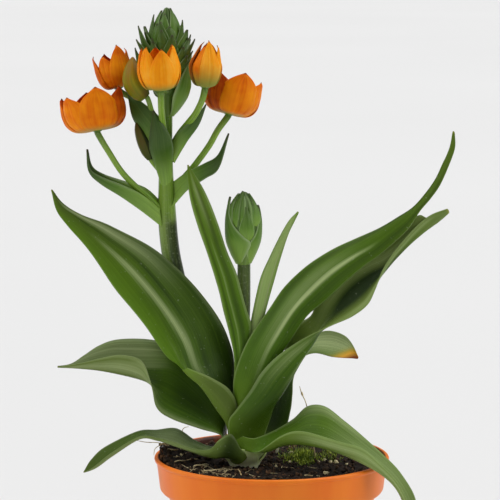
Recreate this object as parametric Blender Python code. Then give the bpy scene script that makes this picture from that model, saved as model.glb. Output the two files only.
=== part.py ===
"""Star-of-bethlehem with orange flowers, in bud and bloom, in its plastic nursery pot.

Metres, +Z up, front towards -Y. The origin is the middle of the underside of the pot.
Lengths in the tables are millimetres and are scaled once, where a shape is made from them.
"""

import math
import random

import bmesh
import bpy
from mathutils import Matrix, Vector

MM = 0.001
GAP = 0.3
SHARP_ANGLE = 50
WELD = 0.001

# Pot, a 12 cm nursery pot
POT_HEIGHT = 105.0
POT_RIM_RADIUS = 60.0
POT_FOOT_RADIUS = 43.0
POT_WALL = 1.3
POT_FLOOR = 2.2
POT_BEAD = 2.6
POT_BAND = 17.5
POT_BAND_INSET = 2.8
POT_NECK_INSET = 7.4
POT_SEGMENTS = 48
DRAIN_HOLES = 6
DRAIN_RADIUS = 4.0
DRAIN_CIRCLE = 31.0
DRAIN_SEGMENTS = 8

# Potting soil, heaped against the left side of the pot
SOIL_LEVEL = 102.0
SOIL_HEAP = 8.5
SOIL_HEAP_AT = (-53.0, 0.0)
SOIL_HEAP_SPREAD = 13.0
SOIL_CRUMBS = 0.7
SOIL_RINGS = (42, 22)
SOIL_PLAY = 0.5

# Neck of the bulb, where all leaves and stalks start
NECK_AT = (-14.0, -11.5)
NECK_TOP = 111.0
NECK_RADIUS = 6.3
CROWN_RADIUS = 11.6
BULB_RADIUS = 11.5
BULB_FOOT = 70.0
BULB_SEGMENTS = 16

# Leaves
LEAF_EDGE = 0.7
LEAF_MIDDLE = 1.3
LEAF_COLS = 4
BRACT_MIDDLE = 1.4
BRACT_ROWS = 5
BRACT_COLS = 2
BUD_SIDES = 8
BUD_RINGS = 7

# Sides and rings of the round stems
MAIN_STALK_SIDES = 10
MAIN_STALK_RINGS = 16
SHORT_STALK_SIDES = 8
SHORT_STALK_RINGS = 6
FLOWER_STALK_SIDES = 6
FLOWER_STALK_RINGS = 7
SEAT_RINGS = 4
STAMEN_SIDES = 3
STAMENS = 6

RANDOM_SEED = 7
GOLDEN_ANGLE = math.radians(137.5)

# Stalks: the path and its radii; bracts: near edge, rib and far edge at each station
MAIN_STALK = [(-16, -6.5, 111.8), (-16.4, -5.6, 121), (-21, -1, 138), (-30, 2, 159), (-41, 5, 181),
              (-48.5, 7, 199), (-51.8, 7.5, 212), (-53.3, 7.5, 228), (-53.7, 7, 246), (-53.9, 6.5, 261),
              (-53.3, 6.5, 277)]
MAIN_STALK_RADII = [3.4, 3.6, 4.0, 4.4, 4.7, 4.9, 4.7, 4.6, 3.8, 3.5, 3.0]
SHORT_STALK = [(-9, -7.2, 111.8), (-11, -7, 130), (-14.2, -5.5, 160), (-14.2, -4.5, 186),
               (-14.2, -4, 203)]
SHORT_STALK_RADII = [2.4, 2.6, 3.0, 3.3, 3.3]
FLOWER_STALKS = {
    "flower_1": ([(-55, 7, 231), (-64, 4, 238), (-70.5, 1.5, 244), (-76, -1, 251), (-82, -4.5, 261),
                  (-87, -8, 270.2)], [1.9, 1.7, 1.6, 1.5, 1.5, 1.6]),
    "flower_2": ([(-54, 7, 258), (-58, 10, 268), (-65, 10, 279), (-73, 9, 286), (-79, 8, 292)],
                 [1.7, 1.5, 1.4, 1.4, 1.5]),
    "flower_3": ([(-54, 4, 262), (-54.8, -5, 269), (-55.4, -12, 277), (-55.4, -17, 285),
                  (-55.2, -19, 291.5)], [1.8, 1.6, 1.5, 1.5, 1.6]),
    "flower_4": ([(-52, 6, 262), (-46.4, 2, 270), (-41.8, -2, 275.3), (-38.2, -5, 280.4),
                  (-35.1, -6.5, 287), (-33.7, -7, 292.3)], [1.8, 1.6, 1.5, 1.5, 1.5, 1.6]),
    "flower_5": ([(-50.5, 6, 240), (-44.1, 6, 246.8), (-38, 8, 254.2), (-32, 10, 262.7),
                  (-27.4, 12, 270.7), (-22.5, 14, 277.3)], [1.8, 1.6, 1.5, 1.4, 1.4, 1.5]),
    "bud_left": ([(-54, 5, 264), (-57, 1, 272), (-60, -2, 280), (-62.3, -4.7, 287.8)],
                 [1.6, 1.4, 1.3, 1.3]),
    "bud_low": ([(-55, 7, 249), (-58, 4.5, 252.5), (-60.8, 3, 256)], [1.8, 1.5, 1.3]),
}
BRACTS = {
    "left": [
        ((-53, 3, 222), (-53.5, 6, 225), (-55, 9, 231)),
        ((-66, -3, 229), (-67, 3, 230), (-66, 8, 236)),
        ((-77, -3.5, 236), (-78, 1, 237), (-77, 5.5, 241)),
        ((-86, -3, 242.5), (-86.5, 0, 243.5), (-85, 3.5, 247)),
        ((-92, -2, 250), (-92, -0.5, 251), (-90.5, 1.5, 253)),
        ((-93.2, -0.3, 262), (-93.2, 0, 262), (-92.8, 0.3, 262)),
    ],
    "right": [
        ((-51, 3, 230), (-50, 6, 234), (-51, 9, 242)),
        ((-40, -1, 239), (-41, 2, 242), (-42, 6, 247)),
        ((-32, -2, 246.5), (-33, 1, 248.5), (-34.5, 4, 252)),
        ((-26, -1.5, 254), (-26.5, 0, 255.5), (-27.5, 2.5, 258)),
        ((-22, -0.3, 269.5), (-22, 0, 270), (-22.2, 0.3, 270)),
    ],
    "front": [
        ((-58, 3, 250), (-55, 3.5, 248), (-51, 4, 252)),
        ((-61.5, -2.5, 261), (-56.5, -6, 259), (-50.5, -4.5, 262)),
        ((-60.5, -6, 271), (-57, -8.5, 270.5), (-53, -7, 272)),
        ((-58.9, -7, 284), (-58.6, -7.3, 284), (-58.3, -7, 284)),
    ],
    "left_back": [
        ((-57, 7, 253), (-55, 9, 252), (-54, 9, 256)),
        ((-67, 5.5, 266), (-63, 9, 267), (-60, 10, 270)),
        ((-71, 3.5, 276), (-69, 6.5, 278), (-66.5, 8, 280)),
        ((-72.7, 1.8, 290), (-72.5, 2, 290.5), (-72.3, 2.2, 290)),
    ],
    "right_high": [
        ((-51, 4, 256), (-50, 6, 255), (-50, 8, 259)),
        ((-41, -2, 265), (-42, 1, 266.5), (-43, 4, 271)),
        ((-35.5, -1.5, 275), (-36, 1, 276), (-38, 4, 279)),
        ((-33.3, 1.8, 284.5), (-33.2, 2, 285), (-33.4, 2.2, 284.6)),
    ],
}

# Flowers: where each stands, the way it opens, the way its first petal faces in degrees, and the
# form of its cup; single buds: the path from foot to tip and the radius
PETAL_ROWS = 5
PETAL_COLS = 4
PETAL_THICKNESS = 0.75
PETAL_RING_STEP = 1.2
PETAL_FLATNESS = 0.14
PETAL_TIP = 0.45
SEAT_RADIUS = 2.9
SEAT_HEIGHT = 3.0
STAMEN_REACH = 4.7
FLOWERS = {
    "flower_1": {"at": (-87.1, -8, 271), "axis": (-0.18, 0.13, 1.0), "facing": -77, "height": 19.5,
                 "belly": 16.0, "mouth": 16.2, "petal": 10.2},
    "flower_2": {"at": (-79.4, 8, 292.8), "axis": (-0.28, 0.1, 1.0), "facing": -60, "height": 20.5,
                 "belly": 9.4, "mouth": 8.8, "petal": 6.6},
    "flower_3": {"at": (-55.2, -19, 292), "axis": (-0.06, -0.08, 1.0), "facing": -86, "height": 23.5,
                 "belly": 11.0, "mouth": 9.0, "petal": 7.3},
    "flower_4": {"at": (-33.6, -7, 292.8), "axis": (0.06, -0.05, 1.0), "facing": -72, "height": 24.5,
                 "belly": 8.2, "mouth": 2.4, "petal": 5.6},
    "flower_5": {"at": (-22.3, 14, 277.7), "axis": (0.24, 0.14, 1.0), "facing": -75, "height": 21.5,
                 "belly": 15.0, "mouth": 14.6, "petal": 9.8},
}
SINGLE_BUDS = {
    "bud_left": ([(-62.6, -5, 288.4), (-69, -6, 297.5), (-69.7, -5, 308.8)], 5.4),
    "bud_low": ([(-61.3, 2.8, 256.6), (-64.8, 1.2, 266.2), (-68.4, -0.5, 275.5)], 3.7),
}

# Heads of bracts. Small bracts are set by the golden angle; at each station a bract has a share of
# its length, a share of its width, and how far out it stands: below 0 in the core, in
# millimetres, and above 0 as a share of the head's lean.
SCALE_STATIONS = ((0.0, 0.7, -1.8), (0.35, 1.0, 0.25), (0.7, 0.72, 0.55), (1.0, 0.06, 1.0))
HEAD_SIDES = 10
HEAD_RINGS = 8
SCALE_ROWS = 3
SCALE_COLS = 2
SCALE_MIDDLE = 1.6
SCALE_CREASE = 0.5
MAIN_HEAD = {"foot": (-53.3, 6.5, 277.4), "tip": (-53, 8, 333), "scales": 22, "first": 0.18,
             "last": 0.79, "turn": 0.4, "core": [3.0, 3.6, 6.8, 8.6, 8.6, 6.6, 1.4],
             "length": [13, 13.5, 14, 12.5, 9], "lean": [5.0, 5.0, 4.4, 2.0, 0.6],
             "width": [4.2, 5.0, 6.2, 6.4, 5.0]}
SHORT_HEAD = {"foot": (-14.3, -4, 203.3), "tip": (-14.1, -4, 241), "scales": 5, "first": 0.28,
              "last": 0.6, "turn": 4.9, "core": [3.0, 5.4, 7.3, 7.8, 7.4, 5.6, 1.2],
              "length": [20, 20, 18, 14, 10], "lean": [0.8, 0.8, 0.8, 0.7, 0.5],
              "width": [3.6, 3.6, 3.8, 3.6, 2.6]}

# Large bracts round a head: the way each faces, in degrees, and at each station its height in
# millimetres, half the angle that it covers in degrees and how far out it stands
MAIN_HEAD_BRACTS = {
    "right": (-12, [(1.2, 40, -0.4), (5, 52, 2.8), (10, 58, 5.6), (15, 52, 6.0), (20, 40, 5.0),
                    (25, 24, 4.6), (30, 8, 4.8), (33, 3, 5.4)]),
}
SHORT_HEAD_BRACTS = {
    "left": (-168, [(1.4, 60, -0.6), (6, 88, 0.1), (12, 104, 0.4), (16, 84, 0.5), (21, 54, 0.7),
                    (26.5, 26, 1.2), (31, 10, 2.0), (35.5, 3, 3.2)]),
    "right": (-6, [(1.6, 50, -0.8), (7, 70, -0.3), (12, 66, -0.1), (16, 50, 0.1), (22, 32, 0.3),
                   (27, 16, 0.5), (31, 4, 0.9)]),
}
WRAP_ROWS = 7
WRAP_COLS = 6

# Leaves: the near edge, the rib and the far edge at each station from foot to tip, in millimetres
LEAF_ROWS_PLAIN = 14
LEAF_ROWS = {"leaf_right_front": 18, "leaf_right_long": 16, "leaf_left_low": 16, "leaf_right_low": 16,
             "leaf_centre_narrow": 10, "leaf_centre_tall": 12}
LEAVES = {
    "leaf_left_tall": [
        ((-16, -17, 111.5), (-21, -14, 111.5), (-21, -9.5, 111.5)),
        ((-17, -18, 131), (-22.5, -17.5, 124), (-19, -8, 134)),
        ((-21.5, -19, 142.5), (-28.5, -19.5, 134), (-19, -7, 143)),
        ((-31, -20, 149), (-34.5, -20.5, 144.5), (-19, -5.5, 152)),
        ((-42, -19.5, 153.5), (-40.5, -18.5, 152.5), (-20.5, -4, 161.5)),
        ((-52.5, -17, 158.5), (-46, -15.5, 167), (-26.5, -3, 175.5)),
        ((-63.5, -15, 174), (-56.5, -12.5, 184), (-39.5, -2, 193)),
        ((-78, -12, 191.5), (-71, -9.5, 202), (-57.5, -2, 210)),
        ((-91, -9, 210), (-86, -7.5, 216.5), (-80, -4, 223)),
        ((-102.5, -7, 223.5), (-99, -6, 227), (-95, -5, 229)),
        ((-108.5, -6, 231.5), (-106.5, -5.5, 233), (-105, -5, 235)),
        ((-111, -5, 241.5), (-111, -5, 242), (-110.5, -5, 242)),
    ],
    "leaf_left_arched": [
        ((-23, -15.5, 111.5), (-24, -11.5, 111.5), (-23, -7, 111.5)),
        ((-25.5, -19.5, 119), (-26, -15, 123), (-24, -6, 130.5)),
        ((-36.5, -21, 123), (-36.5, -13, 132.5), (-34, -3, 144.5)),
        ((-50.5, -21, 128), (-46.5, -11.5, 140), (-42.5, 0, 155.5)),
        ((-58, -20, 133.5), (-53, -11, 144), (-50.5, 1, 161.5)),
        ((-60.5, -18, 144.5), (-58.5, -11, 145.5), (-58.5, 2, 164)),
        ((-65.5, -16, 156.5), (-67, -10, 147), (-68.5, 2, 165)),
        ((-76, -12, 159), (-78, -8, 149), (-80, 1, 164.5)),
        ((-86, -9.5, 157), (-88, -6, 150.5), (-88.5, 0, 161.5)),
        ((-94.5, -7, 154.5), (-96.5, -4.5, 151), (-95.5, -1, 157)),
        ((-103, -4.5, 152.5), (-103, -3, 151), (-102, -2, 153)),
        ((-109, -2, 151), (-109, -2, 151), (-109, -1.5, 151.5)),
    ],
    "leaf_left_low": [
        ((-13, -25.5, 112.5), (-18, -23, 112), (-21.5, -20.5, 112.5)),
        ((-17, -26, 117.5), (-19, -24, 108.5), (-22.5, -19, 113)),
        ((-21, -26, 121.5), (-24, -25.5, 109.5), (-23.5, -19.5, 116.5)),
        ((-26.5, -24.5, 118), (-29, -25, 109), (-27, -18, 114)),
        ((-31.5, -24, 113), (-34.5, -24, 110), (-31, -16.5, 113)),
        ((-40, -22, 113), (-42, -22, 112.5), (-39, -13, 115.5)),
        ((-49.5, -19.5, 116), (-50, -19, 115), (-48.5, -8, 120.5)),
        ((-57.5, -17, 117.5), (-58, -16, 116.5), (-58.5, -7, 119.5)),
        ((-67, -14.5, 117.5), (-67, -13.5, 116.5), (-68.5, -7, 118.5)),
        ((-81.5, -12, 108.5), (-81, -11.5, 107.5), (-84.5, -7.5, 111)),
        ((-90, -10, 101.5), (-89.5, -10, 101), (-92, -8, 104.5)),
        ((-95.5, -9, 98), (-95.5, -9, 98), (-96, -8.5, 98)),
    ],
    "leaf_right_low": [
        ((-16, -23.5, 115), (-15.5, -23, 117), (-15, -23, 119)),
        ((-12.5, -24, 112), (-11.5, -23.5, 114.5), (-10.5, -23, 118.5)),
        ((-7.5, -26, 112), (-6.5, -24, 113.5), (-6.5, -22, 119)),
        ((-3, -29, 115.5), (-2, -26, 113), (-1.5, -19.5, 120.5)),
        ((3, -32, 120.5), (4.5, -28.5, 116), (4, -18, 123)),
        ((9.5, -35, 124), (10.5, -31, 117.5), (11, -18, 127.5)),
        ((16, -37, 124.5), (17.5, -33, 118), (18, -19, 134)),
        ((24, -39, 123), (25, -36, 117.5), (26.5, -22, 134.5)),
        ((33.5, -41, 120.5), (34, -38, 114.5), (36, -25, 128)),
        ((44.5, -41, 117), (43.5, -39, 110), (46, -28, 120)),
        ((54, -39, 108.5), (53.5, -37.5, 104), (56, -30, 111)),
        ((62, -36, 99), (61, -35, 97), (64, -30, 102.5)),
        ((67.5, -32, 88.5), (66, -31.5, 87.5), (71, -29, 91)),
        ((70.5, -29, 76), (69.5, -28.5, 75.5), (73.5, -27, 78)),
        ((73.5, -27, 64), (73, -27, 64), (74, -26.5, 64)),
    ],
    "leaf_right_front": [
        ((-20.5, -18, 111.5), (-13.5, -20, 111.5), (-5.5, -14.5, 111.5)),
        ((-22, -20.5, 126), (-12.5, -21, 121), (-3, -13, 120.5)),
        ((-18.5, -22.5, 132.5), (-5.5, -23.5, 131), (0, -12, 129.5)),
        ((-11.5, -22.5, 142), (2.5, -23, 139), (2, -11, 141)),
        ((-5.5, -22, 151.5), (9, -21.5, 148.5), (6, -9.5, 153.5)),
        ((2.5, -22, 160), (15, -19.5, 158), (10.5, -8, 164.5)),
        ((11.5, -22, 166.5), (20, -17.5, 165), (15, -7, 171.5)),
        ((21, -22, 171.5), (24.5, -14.5, 172.5), (19.5, -6, 178)),
        ((30.5, -22, 176), (30.5, -12, 180), (26.5, -4.5, 185)),
        ((40, -21.5, 180), (37, -10, 187), (34.5, -3, 192)),
        ((47.5, -19.5, 185.5), (44, -9, 193.5), (42.5, -2, 200)),
        ((51.5, -16.5, 193), (50, -8, 198), (50, -1.5, 206.5)),
        ((55, -13.5, 201.5), (56.5, -8, 202), (56.5, -1.5, 212)),
        ((61, -10, 210.5), (63.5, -6, 209), (63, -2, 219)),
        ((68, -7, 218.5), (70.5, -4, 215.5), (69, -3, 225.5)),
        ((75, -4.5, 225.5), (77.5, -3, 221), (74.5, -3, 229)),
        ((81, -3, 229.5), (84, -2.5, 225.5), (79.5, -2.5, 227.5)),
        ((88.5, -1.5, 232), (89.5, -1, 230), (89, -1, 231.5)),
    ],
    "leaf_right_long": [
        ((-9.5, -15, 111.5), (-13.5, -16, 111.5), (-17, -14, 111.5)),
        ((-5, -16.5, 134), (-12.5, -18.5, 134.5), (-19, -16, 135.5)),
        ((-0.5, -17, 148), (-8.5, -18.5, 148.5), (-19.5, -16, 147)),
        ((3.5, -17, 158), (-4, -18, 160.5), (-15.5, -15.5, 159.5)),
        ((9.5, -16.5, 167.5), (1, -17.5, 170), (-10, -15, 170.5)),
        ((17.5, -15, 179), (8.5, -16.5, 182), (-2.5, -13, 181)),
        ((25.5, -13, 187), (17, -14.5, 192), (6, -10, 193)),
        ((34.5, -11.5, 198), (26.5, -13, 202), (16, -8.5, 202.5)),
        ((44, -10, 206), (37, -11, 209.5), (28, -7, 210.5)),
        ((52.5, -8.5, 212), (47.5, -9.5, 215.5), (41.5, -5.5, 217)),
        ((60, -7, 216.5), (56.5, -7.5, 221), (54, -4.5, 222.5)),
        ((68, -6, 224), (66, -6, 227.5), (63.5, -4, 228)),
        ((74.5, -5, 231), (72.5, -4.5, 232.5), (70.5, -3.5, 232.5)),
        ((80, -4, 237.5), (78, -3.5, 238.5), (76, -3, 238.5)),
        ((85, -3, 244.5), (83, -2.5, 246), (82, -2, 246.5)),
        ((89, -1.5, 253.5), (87.5, -1, 254.5), (86, -1, 255)),
        ((92, 0, 262.5), (90.5, 0, 263), (89.5, 0.5, 263)),
        ((92, 1, 270), (91.5, 1, 271), (91, 1, 270.5)),
    ],
    "leaf_right_back": [
        ((-4.5, -8.5, 111.5), (-5.5, -5.5, 111.5), (-9, -3.5, 111.5)),
        ((6, -6, 119), (1, -1.5, 119), (-5, 2, 120)),
        ((9.5, -3.5, 128.5), (4, 2, 130), (-3, 6, 132.5)),
        ((10.5, -1, 136.5), (6.5, 6, 140.5), (0, 10, 143)),
        ((11, 2, 144.5), (9.5, 9, 148.5), (5, 13, 151.5)),
        ((15, 7, 153.5), (15.5, 12.5, 156.5), (11.5, 16.5, 159)),
        ((22, 11, 156), (23, 16, 159.5), (19.5, 19.5, 163.5)),
        ((31, 14.5, 153.5), (31, 19, 159), (29, 21.5, 166)),
        ((38, 17, 152.5), (38, 20.5, 156.5), (37.5, 22.5, 163.5)),
        ((42, 19, 152), (42, 21, 154), (42, 22.5, 158.5)),
        ((44.5, 20, 151.5), (45, 20.5, 152), (44.5, 20.5, 153)),
    ],
    "leaf_centre_tall": [
        ((-19, -12, 111.5), (-16.5, -13, 111.5), (-14.5, -12, 111.5)),
        ((-20, -12, 136), (-17.5, -12.5, 135), (-15, -12, 136)),
        ((-19, -12, 155.5), (-15.5, -13, 155), (-12, -12, 158.5)),
        ((-21.5, -12, 170), (-16, -14, 169.5), (-10.5, -12, 173.5)),
        ((-24.5, -12, 182), (-18.5, -14.5, 181), (-13, -12, 182.5)),
        ((-26.5, -12, 191), (-21, -15, 190.5), (-15.5, -12, 191.5)),
        ((-29, -12, 199.5), (-23.5, -15, 200), (-18, -12, 200.5)),
        ((-33, -12, 212), (-28, -14.5, 212.5), (-23, -11.5, 212)),
        ((-37, -12, 224), (-32, -14, 225), (-27, -12, 225)),
        ((-40.5, -11.5, 236), (-36, -13, 236), (-31, -11.5, 235.5)),
        ((-42, -11, 245), (-39, -12, 244.5), (-35.5, -11, 245)),
        ((-42.5, -10.5, 255), (-42, -10.5, 255), (-42, -10.5, 255)),
    ],
    "leaf_centre_narrow": [
        ((-12.5, -12, 111.5), (-10.5, -13, 111.5), (-8, -12, 111.5)),
        ((-14, -11, 138), (-11.5, -12, 138), (-9, -11, 139.5)),
        ((-12.5, -10, 156), (-9.5, -11, 155.5), (-6.5, -10, 157.5)),
        ((-11.5, -9.5, 170), (-8.5, -11, 169.5), (-5, -10, 171.5)),
        ((-9.5, -9, 181.5), (-6, -11, 181), (-3, -9.5, 182)),
        ((-6, -9, 197), (-2.5, -11, 196.5), (1, -9, 196.5)),
        ((-1.5, -8, 207.5), (1, -10, 207), (4, -8, 207)),
        ((4, -7, 218.5), (6, -8.5, 218.5), (8, -7, 219)),
        ((9, -6, 227), (9.5, -7, 226), (11, -6, 225.5)),
        ((13, -5, 230.5), (13, -5, 231), (13.5, -5, 230.5)),
    ],}


def clear_scene():
    for thing in list(bpy.data.objects):
        bpy.data.objects.remove(thing)


def finish_of(name, colour, roughness, metallic=0.0):
    """A plain material in linear colour."""
    material = bpy.data.materials.new(name)
    material.use_nodes = True
    shader = material.node_tree.nodes["Principled BSDF"]
    shader.inputs["Base Color"].default_value = (*colour, 1.0)
    shader.inputs["Roughness"].default_value = roughness
    shader.inputs["Metallic"].default_value = metallic
    return material


def solid(name, points, faces, material):
    """An object from points in millimetres, with its faces turned outwards."""
    mesh = bpy.data.meshes.new(name)
    mesh.from_pydata([Vector(point) * MM for point in points], [], faces)
    shell = bmesh.new()
    shell.from_mesh(mesh)
    bmesh.ops.remove_doubles(shell, verts=shell.verts, dist=WELD * MM)
    bmesh.ops.recalc_face_normals(shell, faces=shell.faces)
    shell.to_mesh(mesh)
    shell.free()
    mesh.shade_smooth()
    mesh.set_sharp_from_angle(angle=math.radians(SHARP_ANGLE))
    thing = bpy.data.objects.new(name, mesh)
    bpy.context.scene.collection.objects.link(thing)
    mesh.materials.append(material)
    return thing


def apply_modifiers(thing):
    depsgraph = bpy.context.evaluated_depsgraph_get()
    mesh = bpy.data.meshes.new_from_object(thing.evaluated_get(depsgraph))
    thing.modifiers.clear()
    thing.data = mesh


def drop_scraps(thing):
    """Keep only the largest shell: loose scraps and sealed hollows go."""
    shell = bmesh.new()
    shell.from_mesh(thing.data)
    left = set(shell.verts)
    shells = []
    while left:
        group, edge = set(), [left.pop()]
        while edge:
            vert = edge.pop()
            group.add(vert)
            for link in vert.link_edges:
                other = link.other_vert(vert)
                if other in left:
                    left.remove(other)
                    edge.append(other)
        shells.append(group)
    shells.sort(key=len)
    scraps = [vert for group in shells[:-1] for vert in group]
    bmesh.ops.delete(shell, geom=scraps, context="VERTS")
    shell.to_mesh(thing.data)
    shell.free()


def fuse(base, others):
    """Join the others to the base as one body."""
    parts = bpy.data.collections.new(base.name + "_parts")
    bpy.context.scene.collection.children.link(parts)
    for other in others:
        bpy.context.scene.collection.objects.unlink(other)
        parts.objects.link(other)
    union = base.modifiers.new("union", "BOOLEAN")
    union.operation = "UNION"
    union.operand_type = "COLLECTION"
    union.collection = parts
    union.solver = "MANIFOLD"
    apply_modifiers(base)
    for other in others:
        bpy.data.objects.remove(other)
    bpy.data.collections.remove(parts)
    drop_scraps(base)
    return base


def cut(thing, cutter):
    """Cut the cutter's shape out of the thing."""
    cutter.hide_render = True
    cutter.display_type = "WIRE"
    notch = thing.modifiers.new("cut", "BOOLEAN")
    notch.operation = "DIFFERENCE"
    notch.object = cutter
    notch.solver = "MANIFOLD"
    apply_modifiers(thing)
    bpy.data.objects.remove(cutter)


def smooth_point(points, place):
    """A point on the smooth curve through the points; place runs from 0 to 1."""
    along = place * (len(points) - 1)
    first = min(int(along), len(points) - 2)
    t = along - first
    p1, p2 = points[first], points[first + 1]
    p0 = points[first - 1] if first > 0 else p1 * 2 - p2
    p3 = points[first + 2] if first + 2 < len(points) else p2 * 2 - p1
    return 0.5 * (2 * p1 + (p2 - p0) * t + (2 * p0 - 5 * p1 + 4 * p2 - p3) * t ** 2
                  + (3 * p1 - p0 - 3 * p2 + p3) * t ** 3)


def smooth_value(values, place):
    return smooth_point([Vector((value, 0.0, 0.0)) for value in values], place).x


def blade_grid(stations, rows, cols):
    """Points on a leaf through three rails: near edge, rib and far edge, rounded across."""
    rails = [[Vector(station[rail]) for station in stations] for rail in range(3)]
    grid = []
    for row in range(rows + 1):
        near, rib, far = (smooth_point(rail, row / rows) for rail in rails)
        line = []
        for col in range(cols + 1):
            u = 2.0 * col / cols - 1.0
            line.append(near * (u * u - u) / 2 + rib * (1 - u * u) + far * (u * u + u) / 2)
        grid.append(line)
    return grid


def grid_normal(grid, row, col):
    last_row, last_col = len(grid) - 1, len(grid[0]) - 1
    inner = min(max(row, 1), last_row - 1)
    along = grid[inner + 1][col] - grid[inner - 1][col]
    across = grid[inner][min(col + 1, last_col)] - grid[inner][max(col - 1, 0)]
    return across.cross(along).normalized()


def sheet(name, grid, thickness, material):
    """A closed solid round a grid of points; thickness is a function of row and column shares."""
    rows, cols = len(grid) - 1, len(grid[0]) - 1
    points, faces = [], []
    for side in (0.5, -0.5):
        for row in range(rows + 1):
            for col in range(cols + 1):
                depth = thickness(row / rows, 2.0 * col / cols - 1.0)
                points.append(grid[row][col] + grid_normal(grid, row, col) * depth * side)
    wide = cols + 1
    under = wide * (rows + 1)
    for row in range(rows):
        for col in range(cols):
            a = row * wide + col
            b, c, d = a + 1, a + wide + 1, a + wide
            faces += [(a, b, c), (a, c, d), (a + under, c + under, b + under),
                      (a + under, d + under, c + under)]
    border = list(range(cols))
    border += [row * wide + cols for row in range(rows)]
    border += [rows * wide + col for col in range(cols, 0, -1)]
    border += [row * wide for row in range(rows, 0, -1)]
    for here, there in zip(border, border[1:] + border[:1]):
        faces += [(here, here + under, there + under), (here, there + under, there)]
    return solid(name, points, faces, material)


def leaf_thickness(edge, middle):
    """Thickest along the rib near the foot, thinnest along the edges and at the tip."""
    def thickness(row, u):
        return edge + (middle - edge) * (1 - u * u) * (1 - row) ** 0.5
    return thickness


def tube(name, path, radii, sides, material, rings=None):
    """A round stem through the path, closed at both ends."""
    path = [Vector(point) for point in path]
    rings = rings or len(path)
    centres = [smooth_point(path, ring / (rings - 1)) for ring in range(rings)]
    spread = [smooth_value(radii, ring / (rings - 1)) for ring in range(rings)]
    points, faces = [], []
    side = None
    for ring, centre in enumerate(centres):
        along = centres[min(ring + 1, rings - 1)] - centres[max(ring - 1, 0)]
        along.normalize()
        side = side or along.orthogonal()
        side = (side - along * side.dot(along)).normalized()
        other = along.cross(side)
        for corner in range(sides):
            turn = 2 * math.pi * corner / sides
            points.append(centre + (side * math.cos(turn) + other * math.sin(turn)) * spread[ring])
    for ring in range(rings - 1):
        for corner in range(sides):
            a = ring * sides + corner
            b = ring * sides + (corner + 1) % sides
            faces.append((a, b, b + sides, a + sides))
    faces.append(tuple(range(sides)))
    faces.append(tuple(range((rings - 1) * sides, rings * sides)))
    return solid(name, points, faces, material)


def turned(name, profile, segments, centre, material):
    """A solid turned from a profile of (radius, height) that starts and ends on the axis."""
    points, faces, rings = [], [], []
    for radius, height in profile:
        if radius == 0:
            rings.append([len(points)])
            points.append((centre[0], centre[1], height))
            continue
        rings.append([len(points) + step for step in range(segments)])
        for step in range(segments):
            turn = 2 * math.pi * step / segments
            points.append((centre[0] + radius * math.cos(turn),
                           centre[1] + radius * math.sin(turn), height))
    for low, high in zip(rings, rings[1:]):
        for step in range(segments):
            after = (step + 1) % segments
            if len(low) == 1:
                faces.append((low[0], high[step], high[after]))
            elif len(high) == 1:
                faces.append((low[step], low[after], high[0]))
            else:
                faces.append((low[step], low[after], high[after], high[step]))
    return solid(name, points, faces, material)


def make_pot(material):
    """Thin tapered wall, a band below the rolled rim, and drain holes in the foot."""
    foot, rim, top = POT_FOOT_RADIUS, POT_RIM_RADIUS, POT_HEIGHT
    step = top - POT_BAND
    band = rim - POT_BAND_INSET
    neck = rim - POT_NECK_INSET
    wall = POT_WALL
    outside = [(0, 0), (foot - 1, 0), (foot, 1), (neck, step - 2.5), (band - 0.8, step),
               (band, step + 1.2), (rim - 1.2, top - POT_BEAD), (rim, top - POT_BEAD + 0.8),
               (rim, top - 0.6), (rim - 0.8, top)]
    inside = [(rim - 1.9, top), (rim - 2.6, top - 1.2), (band - wall, step + 1.6),
              (neck + 0.2 - wall, step - 1.4), (foot - 0.4 - wall, POT_FLOOR), (0, POT_FLOOR)]
    pot = turned("pot", outside + inside, POT_SEGMENTS, (0, 0), material)
    below, above = -2.0, POT_FLOOR + 2.0
    for hole in range(DRAIN_HOLES):
        turn = 2 * math.pi * (hole + 0.5) / DRAIN_HOLES
        at = (DRAIN_CIRCLE * math.cos(turn), DRAIN_CIRCLE * math.sin(turn))
        profile = [(0, below), (DRAIN_RADIUS, below), (DRAIN_RADIUS, above), (0, above)]
        cut(pot, turned("drain_cutter", profile, DRAIN_SEGMENTS, at, material))
    return pot


def neck_profile(grow=0.0):
    """The bulb and its neck, which flares into the crown that the leaves stand on."""
    top, low = NECK_TOP, BULB_FOOT
    shape = [(4.0, low), (8.5, low + 2.5), (BULB_RADIUS, low + 8), (BULB_RADIUS - 0.5, low + 16),
             (8.3, low + 23), (NECK_RADIUS + 0.5, top - 14), (NECK_RADIUS, top - 9),
             (NECK_RADIUS + 1.2, top - 5), (CROWN_RADIUS - 1.2, top - 1.8),
             (CROWN_RADIUS, top - 0.8), (CROWN_RADIUS - 0.6, top)]
    return [(0, low - grow)] + [(radius + grow, height) for radius, height in shape] + [(0, top + grow)]


def soil_height(x, y):
    """Crumbly surface, heaped at the left."""
    away = (x - SOIL_HEAP_AT[0]) ** 2 + (y - SOIL_HEAP_AT[1]) ** 2
    heap = SOIL_HEAP * math.exp(-away / (2 * SOIL_HEAP_SPREAD ** 2))
    crumbs = math.sin(0.37 * x + 1.0) * math.cos(0.33 * y) + 0.6 * math.sin(0.8 * x + 0.9 * y)
    return SOIL_LEVEL + heap + SOIL_CRUMBS * crumbs


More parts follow.
